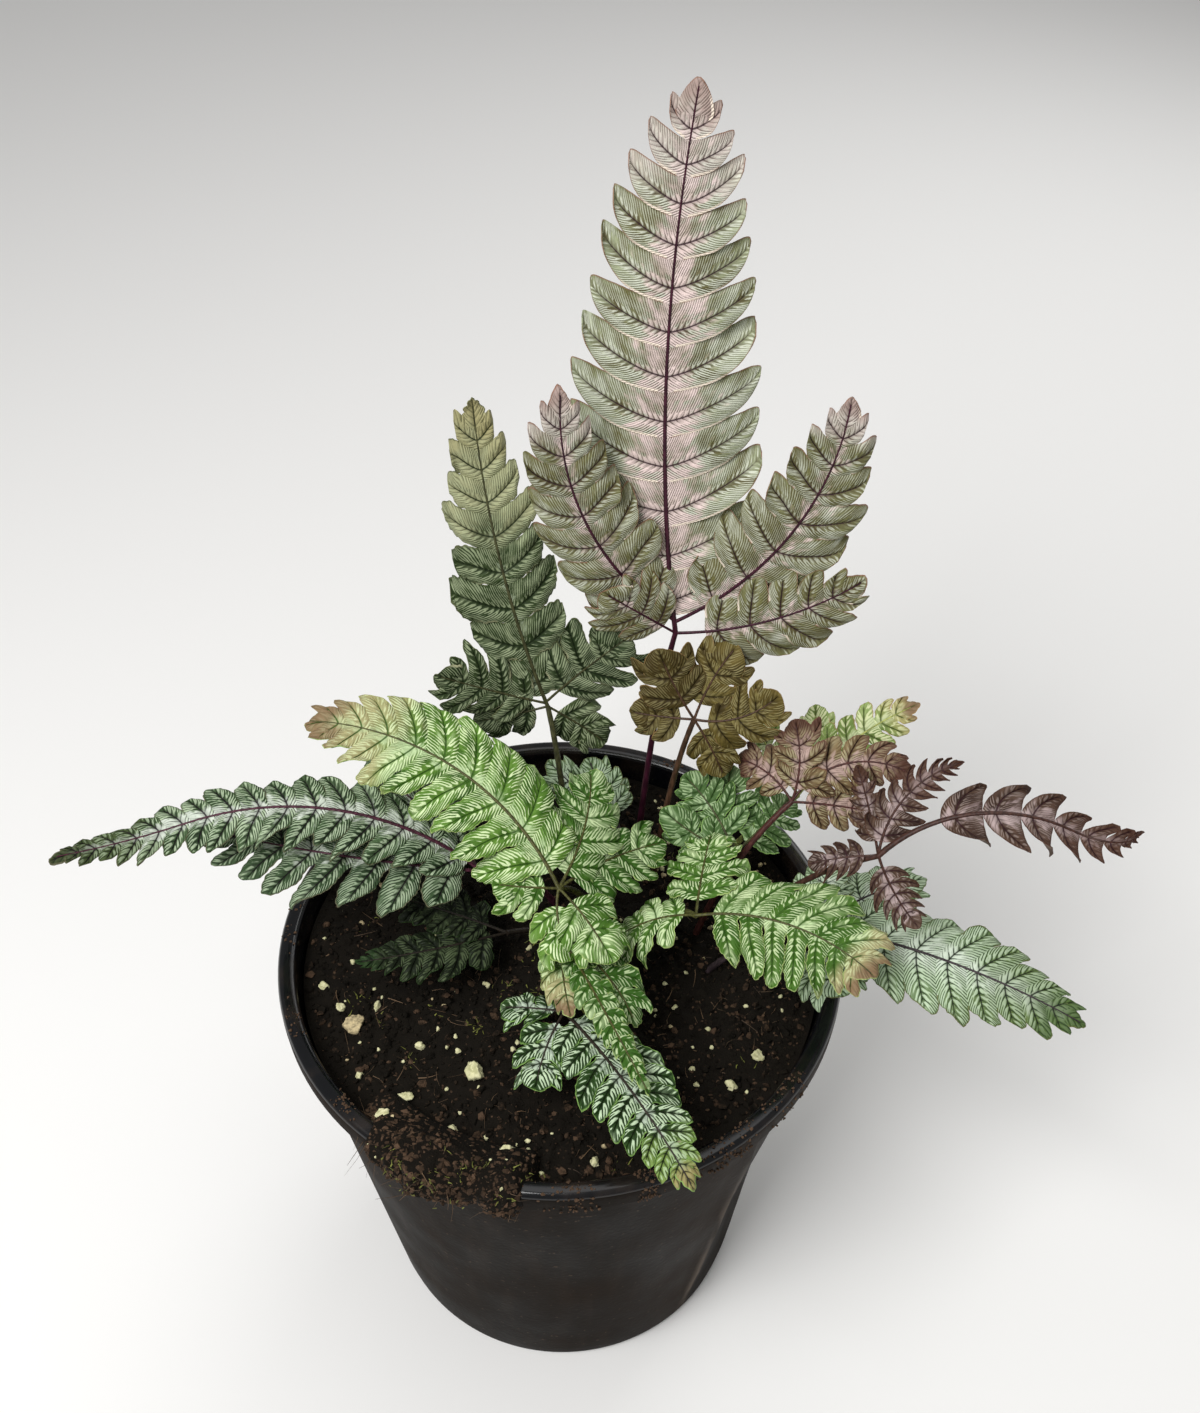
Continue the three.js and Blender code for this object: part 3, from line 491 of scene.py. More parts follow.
def leaf_settings(look):
    """A property group with the colours of one look of blade"""
    fields = {
        part: tint(part.capitalize(), words, hex_code)
        for (part, words), hex_code in zip(LEAF_PARTS.items(), LEAF_COLOURS[look].split())
    }
    title = "".join(word.capitalize() for word in look.split("_")) + "Leaf"
    return type(title, (bpy.types.PropertyGroup,), {"__annotations__": fields})


LEAF_GROUPS = {look: leaf_settings(look) for look in LEAF_COLOURS}


class FernSettings(bpy.types.PropertyGroup):
    blade: span("Blade", "Thickness of the leaf blades", 0.3)
    stalk: span("Stalk", "Radius of the stalks at the soil", 1.05)
    __annotations__.update({
        look: bpy.props.PointerProperty(
            type=group, name=look.replace("_", " ").capitalize(), description="Colours of these blades")
        for look, group in LEAF_GROUPS.items()
    })


class StageSettings(bpy.types.PropertyGroup):
    floor: tint("Floor", "Plain pale floor", "F6F5F3")
    key: power("Key light", "Power of the key light", 13)
    fill: power("Fill light", "Power of the fill lights", 4)


# Meshes

class Sheet:
    """Points and faces of a piece, gathered before they become a mesh, with measures for each point.

    The first ones, in millimetres, count the veinlets, and say how far it is beside the lobe's middle vein
    and in from its edge. Shares are its place in the leaflet's coloured end, its place along the lobe,
    and a number that is the lobe's own. Tone is the leaflet's."""

    def __init__(self):
        self.points = []
        self.faces = []
        self.measures = []
        self.shares = []
        self.tones = []
        # A leaflet's tone is its own darker colour, and painted shade where it lies under other leaves
        self.tone = 0

    def add(self, point, measure=(0, 0, 0), share=(0, 0, 0)):
        self.points.append(point)
        self.measures.append(measure)
        self.shares.append(share)
        self.tones.append(self.tone)
        return len(self.points) - 1

    def strip(self, low, high, flip=False):
        """Faces between two rows of points"""
        for k in range(len(low) - 1):
            face = (low[k], low[k + 1], high[k + 1], high[k])
            self.faces.append(face[::-1] if flip else face)

    def tube(self, path, sides):
        """A closed tube through places, each a centre, two directions across and a radius along each"""
        rings = []
        for centre, right, up, wide, high in path:
            ring = []
            for i in range(sides):
                turn = 2 * math.pi * i / sides
                ring.append(self.add(centre + right * (wide * math.cos(turn)) + up * (high * math.sin(turn))))
            rings.append(ring + ring[:1])
        for low, high in zip(rings, rings[1:]):
            self.strip(low, high)
        self.faces.append(tuple(rings[0][:-1][::-1]))
        self.faces.append(tuple(rings[-1][:-1]))

    def to_object(self, name):
        """The mesh as an object, from millimetres to metres"""
        mesh = bpy.data.meshes.new(name)
        mesh.from_pydata([p * MM for p in self.points], [], self.faces)
        for title, values in (("veinlets", self.measures), ("lobe_share", self.shares)):
            attribute = mesh.attributes.new(title, "FLOAT_VECTOR", "POINT")
            attribute.data.foreach_set("vector", [x for value in values for x in value])
        mesh.attributes.new("leaf_tone", "FLOAT", "POINT").data.foreach_set("value", self.tones)
        piece = bpy.data.objects.new(name, mesh)
        bpy.context.scene.collection.objects.link(piece)
        return piece


def choose(*pieces):
    """Selects these objects alone, the first one active"""
    bpy.ops.object.select_all(action="DESELECT")
    for piece in pieces:
        piece.select_set(True)
    bpy.context.view_layer.objects.active = pieces[0]


def apply_modifier(piece, kind, **settings):
    choose(piece)
    modifier = piece.modifiers.new(kind.title(), kind)
    for key, value in settings.items():
        setattr(modifier, key, value)
    bpy.ops.object.modifier_apply(modifier=modifier.name)


def smooth_faces(piece, degrees):
    choose(piece)
    bpy.ops.object.shade_smooth_by_angle(angle=math.radians(degrees))


def finish_piece(piece, nodes=()):
    """Hands a finished piece to the frame"""
    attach(piece, BODY)
    if nodes:
        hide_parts(*nodes)


# Materials

class Surface:
    """One material's nodes, and the values worked out in it so far, by name"""

    def __init__(self, name):
        self.material = bpy.data.materials.new(name)
        self.material.use_nodes = True
        self.tree = self.material.node_tree
        self.known = {"place": self.add("TexCoord", {}).outputs["Object"]}

    def add(self, kind, links, **settings):
        """Adds one node with its settings, and sets or links its inputs"""
        node = self.tree.nodes.new(f"ShaderNode{kind}")
        for key, value in settings.items():
            setattr(node, key, value)
        self.connect(node, links)
        return node

    def connect(self, node, links):
        for socket, value in links.items():
            value = self.known.get(value, value) if isinstance(value, str) else value
            if isinstance(value, bpy.types.NodeSocket):
                self.tree.links.new(value, node.inputs[socket])
            else:
                node.inputs[socket].default_value = value

    def read(self, title, *names):
        """Names the three values that each point carries under this title"""
        carried = self.add("Attribute", {}, attribute_name=title).outputs["Vector"]
        self.known.update(zip(names, self.add("SeparateXYZ", {0: carried}).outputs))

    def work_out(self, *steps):
        """Works out masks step by step: each has its name, what is done, and what it is done to.

        NOISE has a place, the width of its cells in millimetres and its detail. RISE eases a value up
        between two others, to 1 or to a third, and SPREAD stretches it from two values to two others."""
        for name, action, *values in steps:
            if action == "NOISE":
                place, width, detail = values
                node = self.add("TexNoise", {"Vector": place, "Scale": 1 / (width * MM), "Detail": detail})
            elif action == "RISE":
                node = self.add("MapRange", dict(zip((0, 1, 2, 4), values)), interpolation_type="SMOOTHSTEP")
            elif action == "SPREAD":
                node = self.add("MapRange", dict(enumerate(values)))
            else:
                node = self.add("Math", dict(enumerate(values)), operation=action)
            self.known[name] = node.outputs[0]

    def finish(self, base, layers, roughness, ior=1.5, relief=None):
        """Lays colours over a base, each by its mask, and sets the shader. The relief is a height, its
        strength and its depth in millimetres."""
        colour = (*base, 1)
        for mask, over in layers:
            colour = self.add("Mix", {0: mask, 6: colour, 7: (*over, 1)}, data_type="RGBA").outputs[2]
        links = {"Base Color": colour, "Roughness": roughness, "IOR": ior}
        if relief:
            height, strength, depth = relief
            bump = self.add("Bump", {"Height": height, "Strength": strength, "Distance": depth * MM})
            links["Normal"] = bump.outputs[0]
        self.connect(self.tree.nodes["Principled BSDF"], links)
        return self.material


def leaf_material(look, colours, mark):
    """Fern leaf, a thin grown blade with a waxy skin: satin, veinlets pressed in, pale strokes between"""
    leaf = Surface(f"fern leaf, {look.replace('_', ' ')}")
    leaf.read("veinlets", "phase", "beside", "edge")
    leaf.read("lobe_share", "turned", "lobe", "seed")
    leaf.known["tone"] = leaf.add("Attribute", {}, attribute_name="leaf_tone").outputs["Fac"]
    # Clouding is about 7 mm across, and a veinlet strays over about 5 mm. The skin's cells are too fine to
    # show, so they are drawn 0.4 mm wide. Veinlets are about 1 mm apart by a lobe's edge: each leaves the
    # middle vein single and forks on its way.
    leaf.work_out(
        ("cloud", "NOISE", "place", 7, 2),
        ("stray", "NOISE", "place", 5, 1),
        ("cells", "NOISE", "place", 0.4, 0),
        ("across", "ABSOLUTE", "beside"),
        ("even", "MULTIPLY_ADD", "phase", 1 / mark.pitch, "seed"),
        ("bent", "MULTIPLY_ADD", "stray", 2 * mark.wander, "even"),
        ("row", "FLOOR", "bent"),
        ("row_place", "MULTIPLY", "row", 7.3),
        ("stroke_place", "MULTIPLY", "across", 0.5),
        ("patch_place", "MULTIPLY", "bent", 0.3),
        ("patch_length", "MULTIPLY", "across", 0.16),
        ("own", "MULTIPLY", "seed", 37),
    )
    # Each stroke has its own grain, which changes slowly along it, and patches lie along the strokes.
    for name, across, along, detail in (
        ("grain", "row_place", "stroke_place", 2), ("patch", "patch_place", "patch_length", 3),
    ):
        spread = leaf.add("CombineXYZ", {0: across, 1: along, 2: "own"}).outputs[0]
        noise_node = leaf.add("TexNoise", {"Vector": spread, "Scale": 1, "Detail": detail})
        leaf.known[name] = noise_node.outputs[0]
    leaf.work_out(
        ("streak", "SUBTRACT", "grain", 0.5),
        ("half_ridge", "PINGPONG", "bent", 0.5),
        ("one", "MULTIPLY", "half_ridge", 2),
        ("quarter_ridge", "PINGPONG", "bent", 0.25),
        ("two", "MULTIPLY", "quarter_ridge", 4),
        ("fork_place", "MULTIPLY_ADD", "streak", 5, "across"),
        ("forked", "RISE", "fork_place", 0.8, 2.2),
        ("gain", "SUBTRACT", "two", "one"),
        ("ridge", "MULTIPLY_ADD", "gain", "forked", "one"),
        ("uneven", "MULTIPLY_ADD", "streak", mark.broken, "ridge"),
        ("by_edge", "RISE", "edge", 0.9, 0.1, 0.5),
        ("by_vein", "RISE", "across", 0.9, 0.15, 0.5),
        ("inset", "ADD", "by_edge", "by_vein"),
        ("tapered", "SUBTRACT", "uneven", "inset"),
        ("stroke", "RISE", "tapered", 0.86 - mark.cover, 1.14 - mark.cover, 0.9),
        # Strokes are duller on toned leaflets: painted shade where they lie under other leaves
        ("bright", "MULTIPLY_ADD", "tone", -0.4, 1),
        ("stripe", "MULTIPLY", "stroke", "bright"),
        ("dark_patch", "RISE", "patch", 0.52, 0.3, mark.blotch),
        ("darkest", "MULTIPLY", "dark_patch", 0.35),
        ("pale_patch", "RISE", "patch", 0.5, 0.72, 0.6 * mark.blotch),
        ("feathered", "MULTIPLY_ADD", "streak", 0.9, "lobe"),
        ("patchy", "MULTIPLY_ADD", "patch", -1, "feathered"),
        # The heart is smaller on toned leaflets, partly as painted shade
        ("dimmed", "MULTIPLY_ADD", "tone", 0.25, "patchy"),
        ("heart", "RISE", "dimmed", mark.heart - 0.5 + mark.fade / 2, mark.heart - 0.5 - mark.fade / 2, 0.9),
        ("thin", "RISE", "ridge", 0.42, 0.1, mark.lines),
        ("drawn", "RISE", "grain", 0.3, 0.5),
        ("fading", "MULTIPLY_ADD", "lobe", -mark.faint, 1),
        ("kept", "MULTIPLY", "drawn", "fading"),
        ("line", "MULTIPLY", "thin", "kept"),
        ("far_side", "RISE", "beside", 0.3, 2.6),
        ("uneven_fall", "RISE", "patch", 0.7, 0.35, mark.fall),
        ("fall", "MULTIPLY", "far_side", "uneven_fall"),
        # Painted shade beside a lobe's middle vein, where the lobe folds along it
        ("beside_vein", "RISE", "across", 1.9, 0.1, mark.fold_shade),
        ("before_tip", "RISE", "lobe", 1, 0.7),
        ("fold_shade", "MULTIPLY", "beside_vein", "before_tip"),
        ("breadth", "MULTIPLY_ADD", "lobe", 0.14, "across"),
        ("middle", "RISE", "breadth", 0.32, 0.14, 0.9),
        ("vein", "MULTIPLY", "middle", "before_tip"),
        ("rim", "RISE", "edge", 0.4, 0.12, 0.85),
        ("rim_patches", "RISE", "cloud", 0.3, 0.5),
        ("margin", "MULTIPLY", "rim", "rim_patches"),
        # A painted highlight on the low edge of a lobe by its cleft, where light catches the rolled edge and
        # shines through it
        ("low_side", "RISE", "beside", -0.2, -0.9),
        ("by_cleft", "RISE", "lobe", 0.75, 0.4, mark.rolled),
        ("turned_up", "RISE", "edge", 0.75, 0.5),
        ("low_edge", "MULTIPLY", "low_side", "by_cleft"),
        ("rolled", "MULTIPLY", "low_edge", "turned_up"),
        ("clouded", "MULTIPLY_ADD", "cloud", 0.6, "turned"),
        ("blush", "RISE", "clouded", 0.3, 0.85, 0.75),
        ("veil", "MULTIPLY", "blush", 0.6),
        ("tip", "RISE", "clouded", 0.88, 1.25, 0.85),
        ("pressed", "MULTIPLY_ADD", "vein", -1.5, "ridge"),
        ("height", "MULTIPLY_ADD", "cells", 0.3, "pressed"),
        ("rough", "SPREAD", "cells", 0, 1, 0.52, 0.7),
    )
    # Tone paints each leaflet's own darker colour together with painted shade, fall and fold paint shade, and
    # rolled paints a highlight; the other layers are the blade's own colours
    layers = (
        ("tone", "shade"), ("dark_patch", "shade"), ("darkest", "deep"), ("pale_patch", "stripe"),
        ("blush", "blush"), ("stripe", "stripe"), ("heart", "heart"), ("fold_shade", "deep"), ("fall", "shade"),
        ("veil", "blush"), ("tip", "tip"), ("line", "deep"), ("vein", "vein"), ("margin", "margin"),
        ("rolled", "roll"),
    )
    painted = [(mask, getattr(colours, part)) for mask, part in layers]
    return leaf.finish(colours.ground, painted, "rough", 1.27, ("height", 0.7, 0.3))


def underside_material(look, colours):
    """Underside of a fern leaf, without the upper face's wax: matt and paler, with dark middle veins"""
    under = Surface(f"fern leaf underside, {look.replace('_', ' ')}")
    under.read("veinlets", "phase", "beside", "edge")
    # It is clouded over about 5 mm.
    under.work_out(
        ("cloud", "NOISE", "place", 5, 3),
        ("across", "ABSOLUTE", "beside"),
        ("vein", "RISE", "across", 0.4, 0.15, 0.7),
    )
    layers = [("cloud", mixed(colours.ground, colours.stripe, 0.45)), ("vein", colours.rib)]
    return under.finish(colours.ground, layers, 0.62, relief=("cloud", 0.3, 0.3))


def stalk_material(look, colours):
    """Fern stalk, hard and smooth-skinned: a dark satin with fine streaks along it"""
    stalk = Surface(f"fern stalk, {look.replace('_', ' ')}")
    # Streaks are about 0.8 mm wide and five times as long, up the stalk.
    stalk.known["up_stalk"] = stalk.add("Mapping", {0: "place", 3: (1, 1, 0.2)}).outputs[0]
    stalk.work_out(("streak", "NOISE", "up_stalk", 0.8, 2), ("light", "RISE", "streak", 0.35, 0.7))
    layers = [("light", times(colours.rib, 2.2))]
    return stalk.finish(colours.rib, layers, 0.45, 1.33, ("streak", 0.3, 0.2))


def wall_material(colours):
    """Moulded polypropylene, matt from handling, with dry soil dust, a painted highlight along the crease's
    ridge and painted shade in the hollow behind it
    """
    wall = Surface("moulded polypropylene wall")
    wall.known.update(zip(("across", "depth", "up"), wall.add("SeparateXYZ", {0: "place"}).outputs))
    wall.known["down_wall"] = wall.add("Mapping", {0: "place", 3: (1, 1, 0.12)}).outputs[0]
    # Dust lies in patches about 40 mm wide, most of it on the dented side, in streaks that run down the wall
    # and in specks of 1 mm. The crease's ridge has a painted highlight, broken into streaks, and the hollow
    # behind it has painted shade: it keeps the bare dark body colour.
    wall.work_out(
        ("patches", "NOISE", "place", 40, 5),
        ("streaks", "NOISE", "down_wall", 6, 3),
        ("specks", "NOISE", "place", 1.6, 3),
        ("angle", "ARCTAN2", "depth", "across"),
        ("straight", "MULTIPLY_ADD", "up", -CREASE_LEAN * math.radians(1) / MM, "angle"),
        ("from_crease", "ADD", "straight", math.radians(CREASE_TURN + CREASE_HEIGHT * CREASE_LEAN)),
        ("strayed", "MULTIPLY_ADD", "patches", math.radians(4), math.radians(-2)),
        ("from_ridge", "ADD", "from_crease", "strayed"),
        ("off_ridge", "ABSOLUTE", "from_ridge"),
        ("low_enough", "RISE", "up", 120 * MM, 90 * MM),
        # A painted highlight on the crease's ridge, broken into streaks, and painted shade in the hollow
        # behind it
        ("ridge", "RISE", "off_ridge", math.radians(2.6), 0, 0.5),
        ("broken_streaks", "RISE", "streaks", 0.36, 0.6),
        ("ridge_highlight", "MULTIPLY", "ridge", "broken_streaks"),
        ("lit_ridge", "MULTIPLY", "ridge_highlight", "low_enough"),
        ("hollow", "RISE", "from_crease", 0, math.radians(4), 0.7),
        ("shaded", "MULTIPLY", "hollow", "low_enough"),
        ("dented_side", "RISE", "across", 10 * MM, 60 * MM, 0.3),
        ("settled", "ADD", "patches", "dented_side"),
        ("dust", "RISE", "settled", 0.35, 0.95, 0.8),
        ("run", "RISE", "streaks", 0.45, 0.72, 0.3),
        ("speck", "RISE", "specks", 0.66, 0.74, 0.9),
        ("height", "MULTIPLY_ADD", "streaks", 2, "specks"),
        ("rough", "SPREAD", "patches", 0.3, 0.7, 0.42, 0.7),
    )
    dusty = mixed(colours.body, colours.dust, 0.4)
    layers = [
        ("dust", dusty), ("run", dusty), ("shaded", colours.body), ("lit_ridge", colours.ridge_highlight),
        ("speck", colours.dust),
    ]
    return wall.finish(colours.body, layers, "rough", 1.12, ("height", 0.3, 0.3))


def lip_material(colours):
    """Moulded polypropylene, wiped clean on the rolled lip: blue-black gloss with a few dull smears"""
    lip = Surface("moulded polypropylene lip")
    # Smears are about 12 mm across.
    lip.work_out(
        ("smear", "NOISE", "place", 12, 4),
        ("dull", "RISE", "smear", 0.45, 0.75, 0.35),
        ("rough", "SPREAD", "smear", 0.3, 0.8, 0.1, 0.3),
    )
    return lip.finish(colours.lip, [("dull", colours.dust)], "rough")


def peat_material(name, dark, light, amount):
    """Moist peat: crumbly, dark and dull, with drier brown bits in it"""
    peat = Surface(name)
    peat.read("lobe_share", "turned", "lobe", "own")
    # Crumbs are 1 to 3 mm across, and the grain on them is 0.5 mm.
    peat.work_out(
        ("crumbs", "NOISE", "place", 2.5, 4),
        ("grain", "NOISE", "place", 0.5, 2),
        ("own_crumbs", "MULTIPLY_ADD", "own", 0.55, "crumbs"),
        ("dryness", "MULTIPLY_ADD", "grain", 0.5, "own_crumbs"),
        ("dry", "RISE", "dryness", 0.85, 1.4, amount),
        ("height", "MULTIPLY_ADD", "grain", 0.6, "crumbs"),
    )
    return peat.finish(dark, [("dry", light)], 0.9, 1.25, ("height", 0.8, 0.8))


def perlite_material(name, base, shadow):
    """Perlite, a glass rock puffed by heat: chalky and pitted, with painted shade in its hollows, where algae
    also stain the clean grains
    """
    perlite = Surface(name)
    # Pits are about 1.2 mm apart.
    perlite.work_out(("pits", "NOISE", "place", 1.2, 3), ("raised", "RISE", "pits", 0.3, 0.62))
    return perlite.finish(shadow, [("raised", base)], 0.85, relief=("pits", 0.6, 0.4))


def tuft_material(name, dark, light):
    """Moss or fibre: thin dull strands, each its own shade"""
    tuft = Surface(name)
    tuft.read("lobe_share", "turned", "lobe", "own")
    return tuft.finish(dark, [("own", light)], 0.8)


def floor_material(colour):
    """Matt paper sweep"""
    floor = Surface("matt paper sweep")
    # The paper's grain is too fine to show, so it is drawn 3 mm wide.
    floor.work_out(("grain", "NOISE", "place", 3, 2), ("rough", "SPREAD", "grain", 0, 1, 0.8, 0.95))
    return floor.finish(colour, [], "rough")


# Pot and soil

def wall_radius(z):
    return mix(BASE_RADIUS, LIP_RADIUS - LIP_WIDTH + POT_WALL, z / POT_HEIGHT)


def dent_at(x, y, z, depth):
    """How far the pot's wall is pushed in: a long hollow on the right, with a crease on its near side"""
    turn = math.degrees(math.atan2(y, x))
    hollow = math.exp(-((turn - DENT_TURN) / DENT_ROUND) ** 2) * math.exp(-((z - DENT_HEIGHT) / DENT_UP) ** 2)
    crease_turn = (z - CREASE_HEIGHT) * CREASE_LEAN - CREASE_TURN
    crease = math.exp(-((turn - crease_turn) / CREASE_ROUND) ** 2) * smooth(4, 40, z) * smooth(140, 110, z)
    return depth * hollow - CREASE_SHARE * depth * crease


def pot_profile():
    """The pot's closed outline from the axis outside, over the lip and back inside, as (radius, height)"""
    inner, foot = LIP_RADIUS - LIP_WIDTH, BASE_RADIUS - FOOT_ROUND
    quarter = [(LIP_ROLL * (1 - math.cos(a)), LIP_ROLL * (1 - math.sin(a))) for a in QUARTER_TURN]
    points = [(0, 0), (BASE_RADIUS - 14, 0), (foot, 0)]
    points += [(foot + FOOT_ROUND * math.sin(a), FOOT_ROUND - FOOT_ROUND * math.cos(a)) for a in FOOT_ANGLES]
    points += [(wall_radius(z), z) for z in (6, *range(14, 140, 10), 140, LIP_FOOT)]
    points += [(LIP_RADIUS - 1, LIP_FOOT), (LIP_RADIUS - 0.2, LIP_FOOT + 0.6)]
    points += [(LIP_RADIUS, POT_HEIGHT - LIP_ROLL - 2)]
    points += [(LIP_RADIUS - far, POT_HEIGHT - near) for far, near in quarter]
    points += [(inner + near, POT_HEIGHT - far) for far, near in quarter]
    points += [(inner - 0.1, POT_HEIGHT - 5), (wall_radius(LIP_FOOT) - POT_WALL, LIP_FOOT - 3)]
    points += [(wall_radius(z) - POT_WALL, z) for z in (*range(124, 20, -20), 8)]
    points += [(wall_radius(POT_FLOOR) - POT_WALL - 1, POT_FLOOR), (0, POT_FLOOR)]
    return points


class FERN_OT_pot(bpy.types.Operator):
    """Nursery pot: one profile spun round, dented, with its drainage holes cut"""

    bl_idname = "fern.pot"
    bl_label = "Pot"

    def execute(self, context):
        settings = context.scene.fern_pot
        profile = pot_profile()
        mesh = bpy.data.meshes.new("nursery_pot")
        edges = [(i, i + 1) for i in range(len(profile) - 1)]
        mesh.from_pydata([(r * MM, 0, z * MM) for r, z in profile], edges, [])
        pot = bpy.data.objects.new("nursery_pot", mesh)
        context.scene.collection.objects.link(pot)
        choose(pot)
        bpy.ops.object.mode_set(mode="EDIT")
        bpy.ops.mesh.select_all(action="SELECT")
        bpy.ops.mesh.spin(steps=POT_STEPS, angle=2 * math.pi, center=(0, 0, 0), axis=(0, 0, 1))
        bpy.ops.mesh.select_all(action="SELECT")
        bpy.ops.mesh.remove_doubles(threshold=0.01 * MM)
        bpy.ops.mesh.normals_make_consistent(inside=False)
        bpy.ops.object.mode_set(mode="OBJECT")
        for i in range(DRAIN_HOLES):
            self.cut_drain(pot, 2 * math.pi * i / DRAIN_HOLES)
        for vertex in mesh.vertices:
            x, y, z = (c / MM for c in vertex.co)
            radius = math.hypot(x, y)
            if radius > 1 and z < LIP_FOOT:
                outer = smooth(wall_radius(z) - 6, wall_radius(z) - 3, radius)
                push = dent_at(x, y, z, settings.dent / MM) * outer
                vertex.co.xy *= (radius - push) / radius
        mesh.materials.append(wall_material(settings))
        mesh.materials.append(lip_material(settings))
        for face in mesh.polygons:
            x, y, z = (c / MM for c in face.center)
            inside = math.hypot(x, y) < wall_radius(z) - POT_WALL / 2
            glossy = z > POT_HEIGHT - GLOSS_TOP or (inside and z > LIP_FOOT - GLOSS_INSIDE)
            face.material_index = 1 if glossy else 0
        smooth_faces(pot, 38)
        finish_piece(pot, ["pot"])
        return {"FINISHED"}

    def cut_drain(self, pot, turn):
        """Cuts one drainage hole through the floor"""
        place = (DRAIN_CIRCLE * MM * math.cos(turn), DRAIN_CIRCLE * MM * math.sin(turn), 0)
        bpy.ops.mesh.primitive_cylinder_add(
            vertices=24, radius=DRAIN_RADIUS * MM, depth=10 * MM, location=place)
        cutter = bpy.context.object
        apply_modifier(pot, "BOOLEAN", object=cutter, operation="DIFFERENCE", solver="EXACT")
        bpy.data.objects.remove(cutter)


def soil_height(x, y):
    """The bed's height, with its lumps of a few millimetres and the crumbs on them"""
    t = math.hypot(x, y) / (wall_radius(SOIL_EDGE) - POT_WALL)
    lumps = noise.fractal(Vector((x, y, 3)) / 11, 0.9, 2.1, 4) * 1.3
    crumbs = noise.turbulence(Vector((x, y, 7)) / 2.6, 3, False) * 1.1 - 0.5
    return SOIL_EDGE + SOIL_CROWN * (1 - t * t) + (lumps + crumbs) * smooth(1.0, 0.9, t)


def spill_point(t, along):
    """A point on the heap over the lip: t goes round the pot, and along goes from the bed and over the lip"""
    ragged = 1.02 + 0.24 * noise.fractal(Vector((t * 5, 2, 5)), 0.8, 2, 2)
    swell = clamp(smooth(0, 0.3, t) * smooth(1, 0.85, t) * ragged, 0, 1.15)
    place = along * (len(SPILL_SECTION) - 1)
    at = min(int(place), len(SPILL_SECTION) - 2)
    (r1, z1), (r2, z2) = SPILL_SECTION[at], SPILL_SECTION[at + 1]
    r, z = mix(r1, r2, place - at), mix(z1, z2, place - at)
    shown = smooth(0.1, 0.3, along)
    radius = LIP_RADIUS + mix(r, mix(-9, r, swell), shown)
    # Both ends sink into the bed.
    ends = smooth(0, 0.07, t) * smooth(1, 0.93, t)
    height = POT_HEIGHT + mix(-15, mix(z, mix(-8, z, swell), shown), ends)
    angle = math.radians(mix(SPILL_FROM, SPILL_TO, t))
    point = Vector((radius * math.cos(angle), radius * math.sin(angle), height))
    rough = noise.fractal(point / 4, 0.8, 2.2, 4) * 1.5 * swell * shown
    return point + Vector((math.cos(angle), math.sin(angle), 0.7)) * rough


def finish_soil(piece, material, degrees, nodes=()):
    piece.data.materials.append(material)
    smooth_faces(piece, degrees)
    finish_piece(piece, nodes)


class FERN_OT_soil(bpy.types.Operator):
    """Soil: a crumbly bed cut from a fine grid, and the heap that lies over the lip"""

    bl_idname = "fern.soil"
    bl_label = "Soil"

    def execute(self, context):
        settings = context.scene.fern_soil
        bed = self.make_bed(context.scene.fern_pot.dent / MM)
        finish_soil(bed, peat_material("moist peat", settings.peat, settings.dry, 0.55), 60, ["soil"])
        heap = self.make_heap()
        finish_soil(heap, peat_material("spilt peat", settings.peat, settings.dry, 1), 60)
        return {"FINISHED"}

    def make_bed(self, dent):
        radius = wall_radius(SOIL_EDGE) - POT_WALL - 0.1
        bpy.ops.object.select_all(action="DESELECT")
        bpy.ops.mesh.primitive_grid_add(
            x_subdivisions=BED_CELLS, y_subdivisions=BED_CELLS, size=2.04 * radius * MM)
        bed = bpy.context.object
        bed.name = bed.data.name = "soil_bed"
        bpy.ops.object.mode_set(mode="EDIT")
        bpy.ops.mesh.select_all(action="DESELECT")
        bpy.ops.object.mode_set(mode="OBJECT")
        for vertex in bed.data.vertices:
            vertex.select = vertex.co.xy.length > (radius + 1) * MM
        bpy.ops.object.mode_set(mode="EDIT")
        bpy.ops.mesh.delete(type="VERT")
        bpy.ops.mesh.select_non_manifold()
        bpy.ops.object.mode_set(mode="OBJECT")
        for vertex in bed.data.vertices:
            if vertex.select or vertex.co.xy.length > radius * MM:
                vertex.co.xy *= radius * MM / vertex.co.xy.length
            vertex.co.z = soil_height(vertex.co.x / MM, vertex.co.y / MM) * MM
        bpy.ops.object.mode_set(mode="EDIT")
        for z in BED_RINGS:
            inner = wall_radius(z) - POT_WALL - SOIL_GAP
            bpy.ops.mesh.extrude_edges_move()
            bpy.ops.object.mode_set(mode="OBJECT")
            for vertex in bed.data.vertices:
                if vertex.select:
                    x, y = vertex.co.xy.normalized() * inner
                    shrink = (inner - dent_at(x, y, z, dent)) / inner
                    vertex.co = (x * shrink * MM, y * shrink * MM, z * MM)
            bpy.ops.object.mode_set(mode="EDIT")
        bpy.ops.mesh.edge_face_add()
        bpy.ops.mesh.select_all(action="SELECT")
        bpy.ops.mesh.normals_make_consistent(inside=False)
        bpy.ops.object.mode_set(mode="OBJECT")
        return bed

    def make_heap(self):
        sheet = Sheet()
        rows = [
            [sheet.add(spill_point(i / SPILL_STEPS, k / SPILL_ROWS)) for k in range(SPILL_ROWS + 1)]
            for i in range(SPILL_STEPS + 1)
        ]
        for low, high in zip(rows, rows[1:]):
            sheet.strip(low, high, flip=True)
        heap = sheet.to_object("soil_spill")
        apply_modifier(heap, "SOLIDIFY", thickness=SPILL_SKIN * MM, offset=-1)
        return heap


# What lies on the soil

